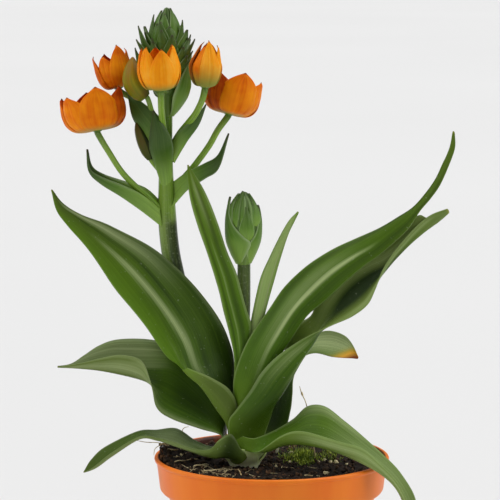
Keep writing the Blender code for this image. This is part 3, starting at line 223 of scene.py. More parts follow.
# Leaves: the near edge, the rib and the far edge at each station from foot to tip, in millimetres
LEAVES = {
    "leaf_left_tall": [
        ((-16, -17, 111.5), (-21, -14, 111.5), (-21, -9.5, 111.5)),
        ((-17, -18, 131), (-22.5, -17.5, 124), (-19, -8, 134)),
        ((-21.5, -19, 142.5), (-28.5, -19.5, 134), (-19, -7, 143)),
        ((-31, -20, 149), (-34.5, -20.5, 144.5), (-19, -5.5, 152)),
        ((-42, -19.5, 153.5), (-40.5, -18.5, 152.5), (-20.5, -4, 161.5)),
        ((-52.5, -17, 158.5), (-46, -15.5, 167), (-26.5, -3, 175.5)),
        ((-63.5, -15, 174), (-56.5, -12.5, 184), (-39.5, -2, 193)),
        ((-78, -12, 191.5), (-71, -9.5, 202), (-57.5, -2, 210)),
        ((-91, -9, 210), (-86, -7.5, 216.5), (-80, -4, 223)),
        ((-102.5, -7, 223.5), (-99, -6, 227), (-95, -5, 229)),
        ((-108.5, -6, 231.5), (-106.5, -5.5, 233), (-105, -5, 235)),
        ((-111, -5, 241.5), (-111, -5, 242), (-110.5, -5, 242)),
    ],
    "leaf_left_arched": [
        ((-23, -15.5, 111.5), (-24, -11.5, 111.5), (-23, -7, 111.5)),
        ((-25.5, -19.5, 119), (-26, -15, 123), (-24, -6, 130.5)),
        ((-36.5, -21, 123), (-36.5, -13, 132.5), (-34, -3, 144.5)),
        ((-50.5, -21, 128), (-46.5, -11.5, 140), (-42.5, 0, 155.5)),
        ((-58, -20, 133.5), (-53, -11, 144), (-50.5, 1, 161.5)),
        ((-60.5, -18, 144.5), (-58.5, -11, 145.5), (-58.5, 2, 164)),
        ((-65.5, -16, 156.5), (-67, -10, 147), (-68.5, 2, 165)),
        ((-76, -12, 159), (-78, -8, 149), (-80, 1, 164.5)),
        ((-86, -9.5, 157), (-88, -6, 150.5), (-88.5, 0, 161.5)),
        ((-94.5, -7, 154.5), (-96.5, -4.5, 151), (-95.5, -1, 157)),
        ((-103, -4.5, 152.5), (-103, -3, 151), (-102, -2, 153)),
        ((-109, -2, 151), (-109, -2, 151), (-109, -1.5, 151.5)),
    ],
    "leaf_left_low": [
        ((-11.5, -22, 110), (-17, -22, 105.5), (-21.5, -18.5, 107.5)),
        ((-15.4, -24.5, 113.2), (-19, -24, 108), (-22.5, -19, 112.5)),
        ((-20.4, -26, 121), (-24, -25.5, 109.5), (-23.5, -19.5, 116.5)),
        ((-26.5, -24.5, 118), (-29, -25, 109), (-27, -18, 114)),
        ((-31.5, -24, 113), (-34.5, -24, 110), (-31, -16.5, 113)),
        ((-40, -22, 113), (-42, -22, 112.5), (-39, -13, 115.5)),
        ((-49.5, -19.5, 116), (-50, -19, 115), (-48.5, -8, 120.5)),
        ((-57.5, -17, 117.5), (-58, -16, 116.5), (-58.5, -7, 119.5)),
        ((-67, -14.5, 117.5), (-67, -13.5, 116.5), (-68.5, -7, 118.5)),
        ((-81.5, -12, 108.5), (-81, -11.5, 107.5), (-84.5, -7.5, 111)),
        ((-90, -10, 101.5), (-89.5, -10, 101), (-92, -8, 104.5)),
        ((-95.5, -9, 98), (-95.5, -9, 98), (-96, -8.5, 98)),
    ],
    "leaf_right_low": [
        ((-20.5, -20.5, 115), (-20, -20, 117.5), (-19.5, -19.5, 120)),
        ((-12.5, -24, 112), (-11.5, -23.5, 114.5), (-10.5, -23, 118.5)),
        ((-7.5, -26, 112), (-6.5, -24, 113.5), (-6.5, -22, 119)),
        ((-3, -29, 115.5), (-2, -26, 113), (-1.5, -19.5, 120.5)),
        ((3, -32, 120.5), (4.5, -28.5, 116), (4, -18, 123)),
        ((9.5, -35, 124), (10.5, -31, 117.5), (11, -18, 127.5)),
        ((16, -37, 124.5), (17.5, -33, 118), (18, -19, 134)),
        ((24, -39, 123), (25, -36, 117.5), (26.5, -22, 134.5)),
        ((33.5, -41, 120.5), (34, -38, 114.5), (36, -25, 128)),
        ((44.5, -41, 117), (43.5, -39, 110), (46, -28, 120)),
        ((54, -39, 108.5), (53.5, -37.5, 104), (56, -30, 111)),
        ((62, -36, 99), (61, -35, 97), (64, -30, 102.5)),
        ((67.5, -32, 88.5), (66, -31.5, 87.5), (71, -29, 91)),
        ((70.5, -29, 76), (69.5, -28.5, 75.5), (73.5, -27, 78)),
        ((73.5, -27, 64), (73, -27, 64), (74, -26.5, 64)),
    ],
    "leaf_right_front": [
        ((-20.5, -18, 111.5), (-13.5, -20, 111.5), (-5.5, -14.5, 111.5)),
        ((-22, -20.5, 126), (-12.5, -21, 121), (-3, -13, 120.5)),
        ((-18.5, -22.5, 132.5), (-5.5, -23.5, 131), (0, -12, 129.5)),
        ((-11.5, -22.5, 142), (2.5, -23, 139), (2, -11, 141)),
        ((-5.5, -22, 151.5), (9, -21.5, 148.5), (6, -9.5, 153.5)),
        ((2.5, -22, 160), (15, -19.5, 158), (7, -8.5, 164.5)),
        ((11.5, -22, 166.5), (20, -17.5, 165), (12, -7.5, 173.2)),
        ((21, -22, 171.5), (24.5, -14.5, 172.5), (20, -6, 178.2)),
        ((30.5, -22, 176), (30.5, -12, 180.5), (23.5, -4, 188.8)),
        ((40, -21.5, 180), (36.5, -10, 187.5), (31, -2.5, 196.8)),
        ((47.5, -19.5, 185.5), (43.5, -9, 194), (39.5, -1.5, 204.6)),
        ((51.5, -16.5, 193), (50, -8, 198.5), (48.3, -1.5, 210.6)),
        ((55, -13.5, 201.5), (56.5, -8, 202.5), (55.8, -1.5, 214.2)),
        ((61, -10, 210.5), (63.5, -6, 209), (63, -2, 219)),
        ((68, -7, 218.5), (70.5, -4, 215.5), (69, -3, 225.5)),
        ((75, -4.5, 225.5), (77.5, -3, 221), (74.5, -3, 229)),
        ((81, -3, 229.5), (84, -2.5, 225.5), (79.5, -2.5, 227.5)),
        ((88.5, -1.5, 232), (89.5, -1, 230), (89, -1, 231.5)),
    ],
    "leaf_right_long": [
        ((-9.5, -15, 111.5), (-13.5, -16, 111.5), (-17, -14, 111.5)),
        ((-5, -16.5, 134), (-12.5, -18.5, 134.5), (-19, -16, 135.5)),
        ((-0.5, -17, 148), (-8.5, -18.5, 148.5), (-19.5, -16, 147)),
        ((3.5, -17, 158), (-4, -18, 160.5), (-15.5, -15.5, 159.5)),
        ((9.5, -16.5, 167.5), (1, -17.5, 170), (-10, -15, 170.5)),
        ((17.5, -15, 179), (8.5, -16.5, 182), (-2.5, -13, 181)),
        ((26.3, -13, 186.2), (17, -14.5, 192), (6, -10, 193)),
        ((36.3, -12, 195.6), (27, -13.5, 201.4), (16, -8.5, 202.5)),
        ((46.5, -10.5, 204), (38, -11.5, 208.8), (28, -7, 210.5)),
        ((54.5, -8.8, 209.6), (48.3, -9.5, 214.6), (41.5, -5.5, 217)),
        ((61.6, -7, 215.4), (57, -7.5, 220.5), (54, -4.5, 222.5)),
        ((69, -6, 222.6), (66.2, -6, 227), (63.5, -4, 228)),
        ((74.5, -5, 231), (72.5, -4.5, 232.5), (70.5, -3.5, 232.5)),
        ((80, -4, 237.5), (78, -3.5, 238.5), (76, -3, 238.5)),
        ((85, -3, 244.5), (83, -2.5, 246), (82, -2, 246.5)),
        ((89, -1.5, 253.5), (87.5, -1, 254.5), (86, -1, 255)),
        ((92, 0, 262.5), (90.5, 0, 263), (89.5, 0.5, 263)),
        ((92, 1, 270), (91.5, 1, 271), (91, 1, 270.5)),
    ],
    "leaf_right_back": [
        ((-4.5, -8.5, 111.5), (-5.5, -5.5, 111.5), (-9, -3.5, 111.5)),
        ((6, -6, 119), (1, -1.5, 119), (-5, 2, 120)),
        ((9.5, -3.5, 128.5), (4, 2, 130), (-3, 6, 132.5)),
        ((10.5, -1, 136.5), (6.5, 6, 140.5), (0, 10, 143)),
        ((11, 2, 144.5), (9.5, 9, 148.5), (5, 13, 151.5)),
        ((15, 7, 153.5), (15.5, 12.5, 156.5), (11.5, 16.5, 159)),
        ((22, 11, 156), (23, 16, 159.5), (19.5, 19.5, 163.5)),
        ((31, 14.5, 153.5), (31, 19, 159), (29, 21.5, 166)),
        ((38, 17, 152.5), (38, 20.5, 156.5), (37.5, 22.5, 163.5)),
        ((42, 19, 152), (42, 21, 154), (42, 22.5, 158.5)),
        ((44.5, 20, 151.5), (45, 20.5, 152), (44.5, 20.5, 153)),
    ],
    "leaf_centre_tall": [
        ((-19, -12, 111.5), (-16.5, -13, 111.5), (-14.5, -12, 111.5)),
        ((-20, -12, 136), (-17.5, -12.5, 135), (-15, -12, 136)),
        ((-19, -12, 155.5), (-15.5, -13, 155), (-12, -12, 158.5)),
        ((-21.5, -12, 170), (-16, -14, 169.5), (-10.5, -12, 173.5)),
        ((-24.5, -12, 182), (-18.5, -14.5, 181), (-13, -12, 182.5)),
        ((-26.5, -12, 191), (-21, -15, 190.5), (-15.5, -12, 191.5)),
        ((-29, -12, 199.5), (-23.5, -15, 200), (-18, -12, 200.5)),
        ((-33, -12, 212), (-28, -14.5, 212.5), (-23, -11.5, 212)),
        ((-37, -12, 224), (-32, -14, 225), (-27, -12, 225)),
        ((-40.5, -11.5, 236), (-36, -13, 236), (-31, -11.5, 235.5)),
        ((-42, -11, 245), (-39, -12, 244.5), (-35.5, -11, 245)),
        ((-42.5, -10.5, 255), (-42, -10.5, 255), (-42, -10.5, 255)),
    ],
    "leaf_centre_narrow": [
        ((-12.5, -12, 111.5), (-10.5, -13, 111.5), (-8, -12, 111.5)),
        ((-14, -11, 138), (-11.5, -12, 138), (-9, -11, 139.5)),
        ((-12.5, -10, 156), (-9.5, -11, 155.5), (-6.5, -10, 157.5)),
        ((-11.5, -9.5, 170), (-8.5, -11, 169.5), (-5, -10, 171.5)),
        ((-9.5, -9, 181.5), (-6, -11, 181), (-3, -9.5, 182)),
        ((-6, -9, 197), (-2.5, -11, 196.5), (1, -9, 196.5)),
        ((-1.5, -8, 207.5), (1, -10, 207), (4, -8, 207)),
        ((4, -7, 218.5), (6, -8.5, 218.5), (8, -7, 219)),
        ((9, -6, 227), (9.5, -7, 226), (11, -6, 225.5)),
        ((13, -5, 230.5), (13, -5, 231), (13.5, -5, 230.5)),
    ],
}

# How each leaf looks: its tone at the near and far edge (above 0 lighter), partly the leaf's own
# tone and partly painted light and shade, whether its upper side is the sheet's back, and its bands:
# middle at the foot and at the tip, half width, strength (below 0 dark, painted shade; above 0 pale,
# painted highlight), first and last share of the length
LEAF_LOOKS = {
    "leaf_left_tall": ((0.42, -0.4), False, [
        (0.72, 0.36, 0.075, 0.85, 0.32, 0.75), (0.86, 0.84, 0.17, 0.95, 0.62, 0.95),
        (0.8, 0.6, 0.035, -0.5, 0.15, 0.9), (0.58, 0.24, 0.045, -0.35, 0.15, 0.6),
        (0.5, 0.1, 0.03, 0.25, 0.2, 0.5), (0.9, 0.9, 0.3, -0.45, 0.0, 0.45),
        (0.07, 0.07, 0.25, -0.6, 0.05, 0.36)]),
    "leaf_left_arched": ((-0.1, -0.3), False, [
        (0.14, 0.2, 0.18, 0.65, 0.45, 1.0), (0.03, 0.03, 0.09, 0.4, 0.0, 0.5),
        (0.45, 0.5, 0.4, -0.55, 0.05, 0.36), (0.0, 0.0, 0.12, 0.85, 0.42, 0.62),
        (0.75, 0.75, 0.08, 0.6, 0.4, 0.9), (0.92, 0.92, 0.2, 0.85, 0.42, 1.0)]),
    "leaf_left_low": ((-0.15, -0.3), False, [
        (0.9, 0.85, 0.12, 0.4, 0.1, 0.5), (0.3, 0.3, 0.4, 0.55, 0.6, 1.1),
        (0.5, 0.5, 0.9, 0.45, 0.4, 0.7), (0.3, 0.3, 0.9, -0.8, 0.06, 0.26)]),
    "leaf_right_low": ((0.2, 0.1), True, [
        (0.97, 0.97, 0.08, 0.6, 0.4, 0.7), (0.1, 0.12, 0.14, 0.75, 0.4, 0.95),
        (0.5, 0.5, 0.9, 0.55, 0.55, 1.1), (0.6, 0.6, 0.12, -0.1, 0.2, 0.8)]),
    "leaf_right_front": ((0.1, -0.05), False, [
        (0.5, 0.4, 0.1, 0.8, 0.25, 0.47), (0.5, 0.5, 0.9, -0.6, 0.0, 0.28),
        (0.42, 0.4, 0.36, -1.4, 0.42, 0.8), (0.05, 0.08, 0.1, 0.5, 0.5, 1.0),
        (0.6, 0.52, 0.03, -1.0, 0.36, 0.6), (0.78, 0.72, 0.24, 0.35, 0.42, 0.9),
        (0.12, 0.12, 0.12, 0.5, 0.24, 0.42), (0.5, 0.5, 0.9, 0.35, 0.85, 1.1)]),
    "leaf_right_long": ((0.08, 0.12), True, [
        (0.5, 0.3, 0.095, 1.4, 0.17, 0.54), (0.6, 0.55, 0.25, 0.35, 0.2, 0.5),
        (0.2, 0.2, 0.16, -0.4, 0.2, 0.9), (0.85, 0.85, 0.12, -0.5, 0.2, 0.9)]),
    "leaf_right_back": ((0.1, -0.1), True, [
        (0.6, 0.6, 0.8, 0.8, 0.5, 1.1), (0.5, 0.5, 0.9, -0.8, 0.0, 0.4)]),
    "leaf_centre_tall": ((0.35, 0.15), False, [
        (0.05, 0.06, 0.06, 0.6, 0.05, 0.95), (0.94, 0.93, 0.06, 0.5, 0.05, 0.95),
        (0.22, 0.24, 0.09, -0.5, 0.1, 0.95), (0.62, 0.62, 0.16, -0.5, 0.1, 0.95),
        (0.42, 0.42, 0.06, 0.4, 0.2, 0.7), (0.5, 0.5, 0.2, 0.5, 0.75, 1.0)]),
    "leaf_centre_narrow": ((0.5, 0.4), True, [
        (0.4, 0.4, 0.7, 1.2, -0.1, 1.0), (0.7, 0.7, 0.07, -0.5, 0.1, 0.9),
        (0.2, 0.2, 0.07, -0.4, 0.1, 0.9)]),
}

# The mesh of a leaf, its thickness in millimetres in the middle and the share of it at the edges,
# and how far it ripples
LEAF_ROWS = 110
LEAF_COLS = 22
LEAF_MIDDLE = 1.25
LEAF_EDGE_SHARE = 0.28
LEAF_RIPPLE = 0.25

# Pot: its wall as (radius, height), up the outside and down the inside, and its drain holes; soil
# film and painted shade lie inside the band, whose wall slopes by so much radius for each millimetre of
# height
POT_PROFILE = [(0.0, 0.0), (42.0, 0.0), (43.0, 1.0), (52.6, 85.0), (56.4, 87.5), (57.2, 88.7),
               (58.8, 102.4), (60.0, 103.2), (60.0, 104.4), (59.2, 105.0), (58.1, 105.0),
               (57.4, 103.8), (55.9, 89.1), (51.5, 86.1), (41.3, 2.2), (0.0, 2.2)]
POT_HEIGHT = 105.0
BAND_FOOT = 89.0
BAND_INNER_RADIUS = 58.4
BAND_SLOPE = 0.113
DRAIN_HOLES = 6
DRAIN_RADIUS = 4.0
DRAIN_CIRCLE = 31.0

# Soil: its surface, heaped at the left, the edge where that turns down, and the side that it hides
SOIL_LEVEL = 102.0
SOIL_RADIUS = 55.2
SOIL_RINGS = 62
SOIL_EDGE = 2.0
SOIL_SIDE = [(55.4, SOIL_LEVEL - SOIL_EDGE), (53.8, 89.5), (51.1, 86.1), (41.0, 3.0), (41.0, 2.6),
             (0.0, 2.6)]
SOIL_HEAP = 8.5
SOIL_HEAP_AT = (-53.0, 0.0)
SOIL_HEAP_SPREAD = 13.0
SOIL_CRUMBS = 0.7

# Crumbs against the rim: between which turns in radians and how far out, from where they may have
# slid down and how far, and five that are placed one by one, each with its three radii
RIM_CRUMB_TURNS = (2.6, 3.75)
RIM_CRUMB_CIRCLE = (53.0, 57.0)
RIM_CRUMB_DROP_FROM = 54.5
RIM_CRUMB_DROP = 5.0
RIM_CRUMBS = (((54.8, 16.5, 103.9), (1.9, 1.6, 1.2)), ((55.9, 12.6, 103.2), (1.5, 1.2, 1.0)),
              ((54.0, 18.6, 104.3), (1.7, 1.4, 0.9)), ((54.6, 14.6, 102.0), (1.6, 1.6, 1.6)),
              ((51.4, 24.6, 102.6), (1.6, 1.6, 1.4)))

# Straw: how many fibres, how many of them at the front left, round which middle and how widely, and
# long ones with their place, heading in radians and length; perlite: place and radius; moss:
# middle, spread and number of shoots
FIBRES = 86
FRONT_FIBRES = 40
FRONT_FIBRES_AT = ((-26, 6), (-27, 7))
LONG_FIBRES = (((-49, -6), 0.3, 15), ((-44, -16), 0.6, 17), ((-45, 2), 2.6, 10), ((-16, -32.5), 1.7, 15),
               ((-36, -22), 0.9, 12), ((-30, -30), 0.2, 10), ((20, -38), 0.2, 9))
PERLITE = [(10.2, 12, 1.8), (9.0, -8, 0.9), (27.3, 2.7, 1.7), (29.6, -8.4, 1.5), (32.8, -6.2, 1.5),
           (35.6, 9.4, 1.1), (38.4, -8, 1.2), (24, -3, 1.0), (26.8, -33, 1.5), (-46, -10, 1.0),
           (-38, -20, 0.9), (2, -20, 0.9)]
SMALL_PERLITE = 20
MOSS_CUSHIONS = (((15.5, 2), (3.8, 7.5), 210), ((30, 2), (2.6, 4.0), 26))

# Neck of the bulb: its middle, how far the crumbs keep from that, its profile as (radius, height),
# and its sheaths, with the way each faces, half its angle, its foot and its top, and its way out
NECK_AT = (-14.0, -11.5)
NECK_CLEARANCE = 8.0
NECK_PROFILE = [(0.0, 70.0), (4.0, 70.0), (8.5, 72.5), (11.5, 78.0), (11.0, 86.0), (8.3, 93.0),
                (6.8, 97.0), (6.3, 102.0), (7.5, 106.0), (10.4, 109.2), (11.6, 110.2), (11.0, 111.0),
                (0.0, 111.0)]
SHEATHS = ((-95, 75, 97.0, 113.0, 0.5), (25, 80, 96.0, 112.0, 0.8), (150, 85, 96.5, 114.0, 0.7))
SHEATH_RADII = [6.6, 6.5, 7.3, 9.6, 11.6]

# Dry threads: a sprig of grass and its joint, and root threads
SPRIG = [(22.5, 2, 103), (20, -5, 118), (17.6, -9, 132.5), (15.2, -10, 138.6), (13.9, -10, 142.8)]
SPRIG_RADII = [0.35, 0.3, 0.24, 0.3, 0.12]
SPRIG_JOINT = [(15.6, -10, 137.6), (15.2, -10, 138.8), (14.9, -10, 139.8)]
SPRIG_JOINT_RADII = [0.4, 0.55, 0.3]
ROOT_THREADS = ([(-52, -6, 111), (-58, -10, 113.5), (-64, -12, 114.2), (-71, -9, 115)],
                [(-47, -2, 110), (-46, -8, 116), (-45, -9, 120.5), (-42, -8, 121.5)],
                [(-50, 0, 110.5), (-54, -6, 112.5), (-59, -9, 110.5), (-60, -11, 107)])
ROOT_THREAD_RADII = [0.28, 0.22, 0.2, 0.1]

# Camera: where it stands in millimetres, how far down it looks in degrees and its lens. Lights: the
# strength of the world, and distant soft boxes, each with its heading in degrees, 0 in front and 90
# at the right, its height above the floor, its spread and its strength
CAMERA_AT = (-11.1, -1272.1, 373.1)
CAMERA_DOWN = 7.271
CAMERA_LENS = 182.3
WORLD_LIGHT = 0.18
LIGHTS = (("left", -78.0, 36.0, 50.0, 1.45), ("right", 84.0, 33.0, 50.0, 1.45),
          ("above", 165.0, 72.0, 60.0, 1.4), ("front", -10.0, 22.0, 60.0, 0.15))

# Curves and places

def smooth_point(points, place):
    """A point on the smooth curve through the points; place runs from 0 to 1."""
    along = place * (len(points) - 1)
    first = min(int(along), len(points) - 2)
    t = along - first
    p1, p2 = points[first], points[first + 1]
    p0 = points[first - 1] if first > 0 else p1 * 2 - p2
    p3 = points[first + 2] if first + 2 < len(points) else p2 * 2 - p1
    return 0.5 * (2 * p1 + (p2 - p0) * t + (2 * p0 - 5 * p1 + 4 * p2 - p3) * t ** 2
                  + (3 * p1 - p0 - 3 * p2 + p3) * t ** 3)


def smooth_value(values, place):
    return smooth_point([Vector((value, 0.0, 0.0)) for value in values], place).x


def ramp(value, low, high):
    """0 below low, 1 above high, smooth between."""
    share = min(max((value - low) / (high - low), 0.0), 1.0)
    return share * share * (3 - 2 * share)


def bump_at(value, middle, half):
    """1 at the middle, falling smoothly to 0 at half away from it."""
    return 1 - ramp(abs(value - middle), 0.0, half)


def off_middle(u):
    """0 along the middle of a sheet and 1 at both its edges."""
    return abs(2 * u - 1)


def around(out, turn, height, side=0.0, centre=(0.0, 0.0)):
    """The point so far out from the centre in the direction of the turn, and so far to its side."""
    return Vector((centre[0] + out * math.cos(turn) - side * math.sin(turn),
                   centre[1] + out * math.sin(turn) + side * math.cos(turn), height))


def turn_to(axis, facing=0.0):
    """A frame whose Z runs along the axis and whose X faces that many degrees round from +X."""
    up = Vector(axis).normalized()
    side = around(1.0, math.radians(facing), 0.0)
    side = (side - up * side.dot(up)).normalized()
    return Matrix((side, up.cross(side), up)).transposed()


def flower_point(shape, point):
    """From a flower's own frame, Z along its axis and the end of its stalk at 0, to the part's."""
    return Vector(shape["at"]) + turn_to(shape["axis"], shape["facing"]) @ Vector(point)


def head_point(head, out, turn, height, side=0.0):
    """From a head's own frame, Z along its axis and its foot at 0, to the part's."""
    foot = Vector(head["foot"])
    return foot + turn_to(Vector(head["tip"]) - foot) @ around(out, turn, height, side)


def across_rails(stations):
    """Places on the sheet that runs through three rails: near edge, rib and far edge."""
    rails = [[Vector(station[rail]) for station in stations] for rail in range(3)]

    def place(u, v):
        near, rib, far = (smooth_point(rail, v) for rail in rails)
        w = 2 * u - 1
        return near * (w * w - w) / 2 + rib * (1 - w * w) + far * (w * w + w) / 2

    return place


# Shapes

def pick(*pieces):
    """Selects the pieces and makes the first one active."""
    bpy.ops.object.select_all(action="DESELECT")
    for piece in pieces:
        piece.select_set(True)
    bpy.context.view_layer.objects.active = pieces[0]


def close(piece):
    """Joins the edges that meet and turns every face outwards."""
    pick(piece)
    bpy.ops.object.mode_set(mode="EDIT")
    bpy.ops.mesh.select_all(action="SELECT")
    bpy.ops.mesh.remove_doubles(threshold=WELD)
    bpy.ops.mesh.normals_make_consistent(inside=False)
    bpy.ops.object.mode_set(mode="OBJECT")
    return piece


def gather(name, pieces):
    """Joins pieces to one."""
    pick(*pieces)
    bpy.ops.object.join()
    pieces[0].name = name
    pieces[0].data.name = name
    return pieces[0]


def finish_modifiers(piece):
    pick(piece)
    for modifier in list(piece.modifiers):
        bpy.ops.object.modifier_apply(modifier=modifier.name)


def dress(piece, material, node):
    """Gives a piece its finish, hangs it under the root and hides the CAD node that it stands for."""
    piece.data.materials.clear()
    piece.data.materials.append(material)
    piece.data.shade_smooth()
    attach(piece, "root")
    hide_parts(node)


def paint(piece, spots, layer, value):
    """A layer of values, one for each point's spot, which the piece's material reads by name."""
    made = piece.data.attributes.new(layer, "FLOAT", "POINT")
    for item, spot in zip(made.data, spots):
        item.value = value(*spot)


def surface(name, rows, cols, place, layers):
    """A grid whose points place(u, v) sets in millimetres, u across and v along, both 0 to 1.

    Each layer is painted on by its own function of u and v.
    """
    bpy.ops.mesh.primitive_grid_add(x_subdivisions=cols, y_subdivisions=rows, size=1)
    piece = bpy.context.object
    piece.name = name
    shares = [(vert.co.x + 0.5, vert.co.y + 0.5) for vert in piece.data.vertices]
    for vert, (u, v) in zip(piece.data.vertices, shares):
        vert.co = place(u, v) * MM
    for layer, value in layers.items():
        paint(piece, shares, layer, value)
    return piece, shares


def sheet(name, rows, cols, place, layers, middle, edge_share, upper_is_back=False):
    """A surface with a thickness in the middle and a share of it at the edges, its lower side marked."""
    piece, shares = surface(name, rows, cols, place, layers)
    group = piece.vertex_groups.new(name="thickness")
    for index, (u, v) in enumerate(shares):
        group.add([index], max((1 - (2 * u - 1) ** 4) * (1 - v) ** 0.4, 0.0), "REPLACE")
    wall = piece.modifiers.new("thickness", "SOLIDIFY")
    wall.thickness = middle * MM
    wall.offset = 0.0
    wall.vertex_group = group.name
    wall.thickness_vertex_group = edge_share
    finish_modifiers(piece)
    half = len(shares)
    sides = [(index < half,) for index in range(len(piece.data.vertices))]
    paint(piece, sides, "under", lambda first: float(first == upper_is_back))
    return piece


def stem(name, path, radii, rows, cols, lobes=0, groove=0.0, layers=None):
    """A round stem through the path, closed and rounded at its ends, with shallow ribs."""
    path = [Vector(point) for point in path]
    side = (path[1] - path[0]).orthogonal().normalized()
    rings = []
    for row in range(rows + 1):
        v = row / rows
        centre = smooth_point(path, v)
        ahead, behind = smooth_point(path, min(v + 0.02, 1)), smooth_point(path, max(v - 0.02, 0))
        along = (ahead - behind).normalized()
        side = (side - along * side.dot(along)).normalized()
        rounding = 1 - max(0.0, 1 - min(v, 1 - v) / STEM_END_SHARE) ** 3
        rings.append((centre, side, along.cross(side), smooth_value(radii, v) * rounding))

    def place(u, v):
        centre, first, second, radius = rings[round(v * rows)]
        turn = 2 * math.pi * u
        radius *= 1 + groove * math.cos(lobes * turn)
        return centre + (first * math.cos(turn) + second * math.sin(turn)) * radius

    return close(surface(name, rows, cols, place, layers or {})[0])


def turned(name, profile, cols, centre=(0.0, 0.0), wobble=None, layers=None):
    """A closed form turned from a profile of (radius, height); wobble moves its points."""
    rows = len(profile) - 1

    def place(u, v):
        radius, height = profile[round(v * rows)]
        turn = 2 * math.pi * u
        x, y = centre[0] + radius * math.cos(turn), centre[1] + radius * math.sin(turn)
        return wobble(x, y, height, turn) if wobble else Vector((x, y, height))

    return close(surface(name, rows, cols, place, layers or {})[0])


def along_profile(corners, step, corner_radius):
    """The profile with rounded corners and points no further apart than step."""
    points = [corners[0]]
    for before, corner, after in zip(corners, corners[1:], corners[2:]):
        corner, back, ahead = Vector(corner), Vector(before), Vector(after)
        cut = min(corner_radius, (corner - back).length * 0.45, (ahead - corner).length * 0.45)
        start = corner + (back - corner).normalized() * cut
        end = corner + (ahead - corner).normalized() * cut
        for share in (0.0, 0.25, 0.5, 0.75, 1.0):
            points.append(tuple(start.lerp(corner, share).lerp(corner.lerp(end, share), share)))
    points.append(corners[-1])
    dense = [points[0]]
    for point in points[1:]:
        last = Vector(dense[-1])
        parts = int((Vector(point) - last).length / step) + 1
        dense.extend(tuple(last.lerp(Vector(point), part / parts)) for part in range(1, parts))
        dense.append(point)
    return dense


# Finishes

def linear(code):
    """An sRGB hex colour in Blender's linear values."""
    shares = [int(code[place:place + 2], 16) / 255 for place in (1, 3, 5)]
    shares = [share / 12.92 if share <= 0.04045 else ((share + 0.055) / 1.055) ** 2.4 for share in shares]
    return (*shares, 1.0)


def add(material, kind, inputs=(), stops=(), output=0, **settings):
    """Adds a node and gives one of its outputs.

    Inputs, by name or in their order, are values, hex colours or the outputs that feed them; stops
    are the colours of a ramp.
    """
    made = material.node_tree.nodes.new("ShaderNode" + kind)
    for key, value in settings.items():
        setattr(made, key, value)
    for key, value in inputs.items() if isinstance(inputs, dict) else enumerate(inputs):
        if isinstance(value, bpy.types.NodeSocket):
            material.node_tree.links.new(value, made.inputs[key])
        else:
            made.inputs[key].default_value = linear(value) if isinstance(value, str) else value
    for index, (place, code) in enumerate(stops):
        elements = made.color_ramp.elements
        element = elements[index] if index < 2 else elements.new(place)
        element.position = place
        element.color = linear(code)
    return made.outputs[output]


def new_finish(name, roughness, specular, glow=()):
    """A material; glow is how much light passes in, how far each colour goes and the scale of that."""
    made = bpy.data.materials.new(name)
    made.use_nodes = True
    shader = made.node_tree.nodes["Principled BSDF"]
    shader.inputs["Roughness"].default_value = roughness
    shader.inputs["Specular IOR Level"].default_value = specular
    for key, value in zip(("Weight", "Radius", "Scale"), glow):
        shader.inputs["Subsurface " + key].default_value = value
    return made


def streaks(material, scale, detail, roughness=0.5):
    """Noise drawn out along a piece; the scale is how many streaks stand across, along and deep."""
    lengthwise = add(material, "Mapping", {"Vector": add(material, "UVMap"), "Scale": scale})
    noise_inputs = {"Vector": lengthwise, "Scale": 1.0, "Detail": detail, "Roughness": roughness}
    return add(material, "TexNoise", noise_inputs)


def complete(material, colour, coats, relief=None, roughness=None):
    """Lays coats of colour over the first, each where its share says, and feeds the shader.

    The relief is the output that it follows, its strength and its depth.
    """
    for share, coat in coats:
        colour = add(material, "Mix", {0: share, 6: colour, 7: coat}, output=2, data_type="RGBA")
    feeds = {"Base Color": colour}
    if relief:
        feeds["Normal"] = add(material, "Bump", dict(zip(("Height", "Strength", "Distance"), relief)))
    if roughness is not None:
        feeds["Roughness"] = roughness
    for socket, output in feeds.items():
        material.node_tree.links.new(output, material.node_tree.nodes["Principled BSDF"].inputs[socket])
    return material


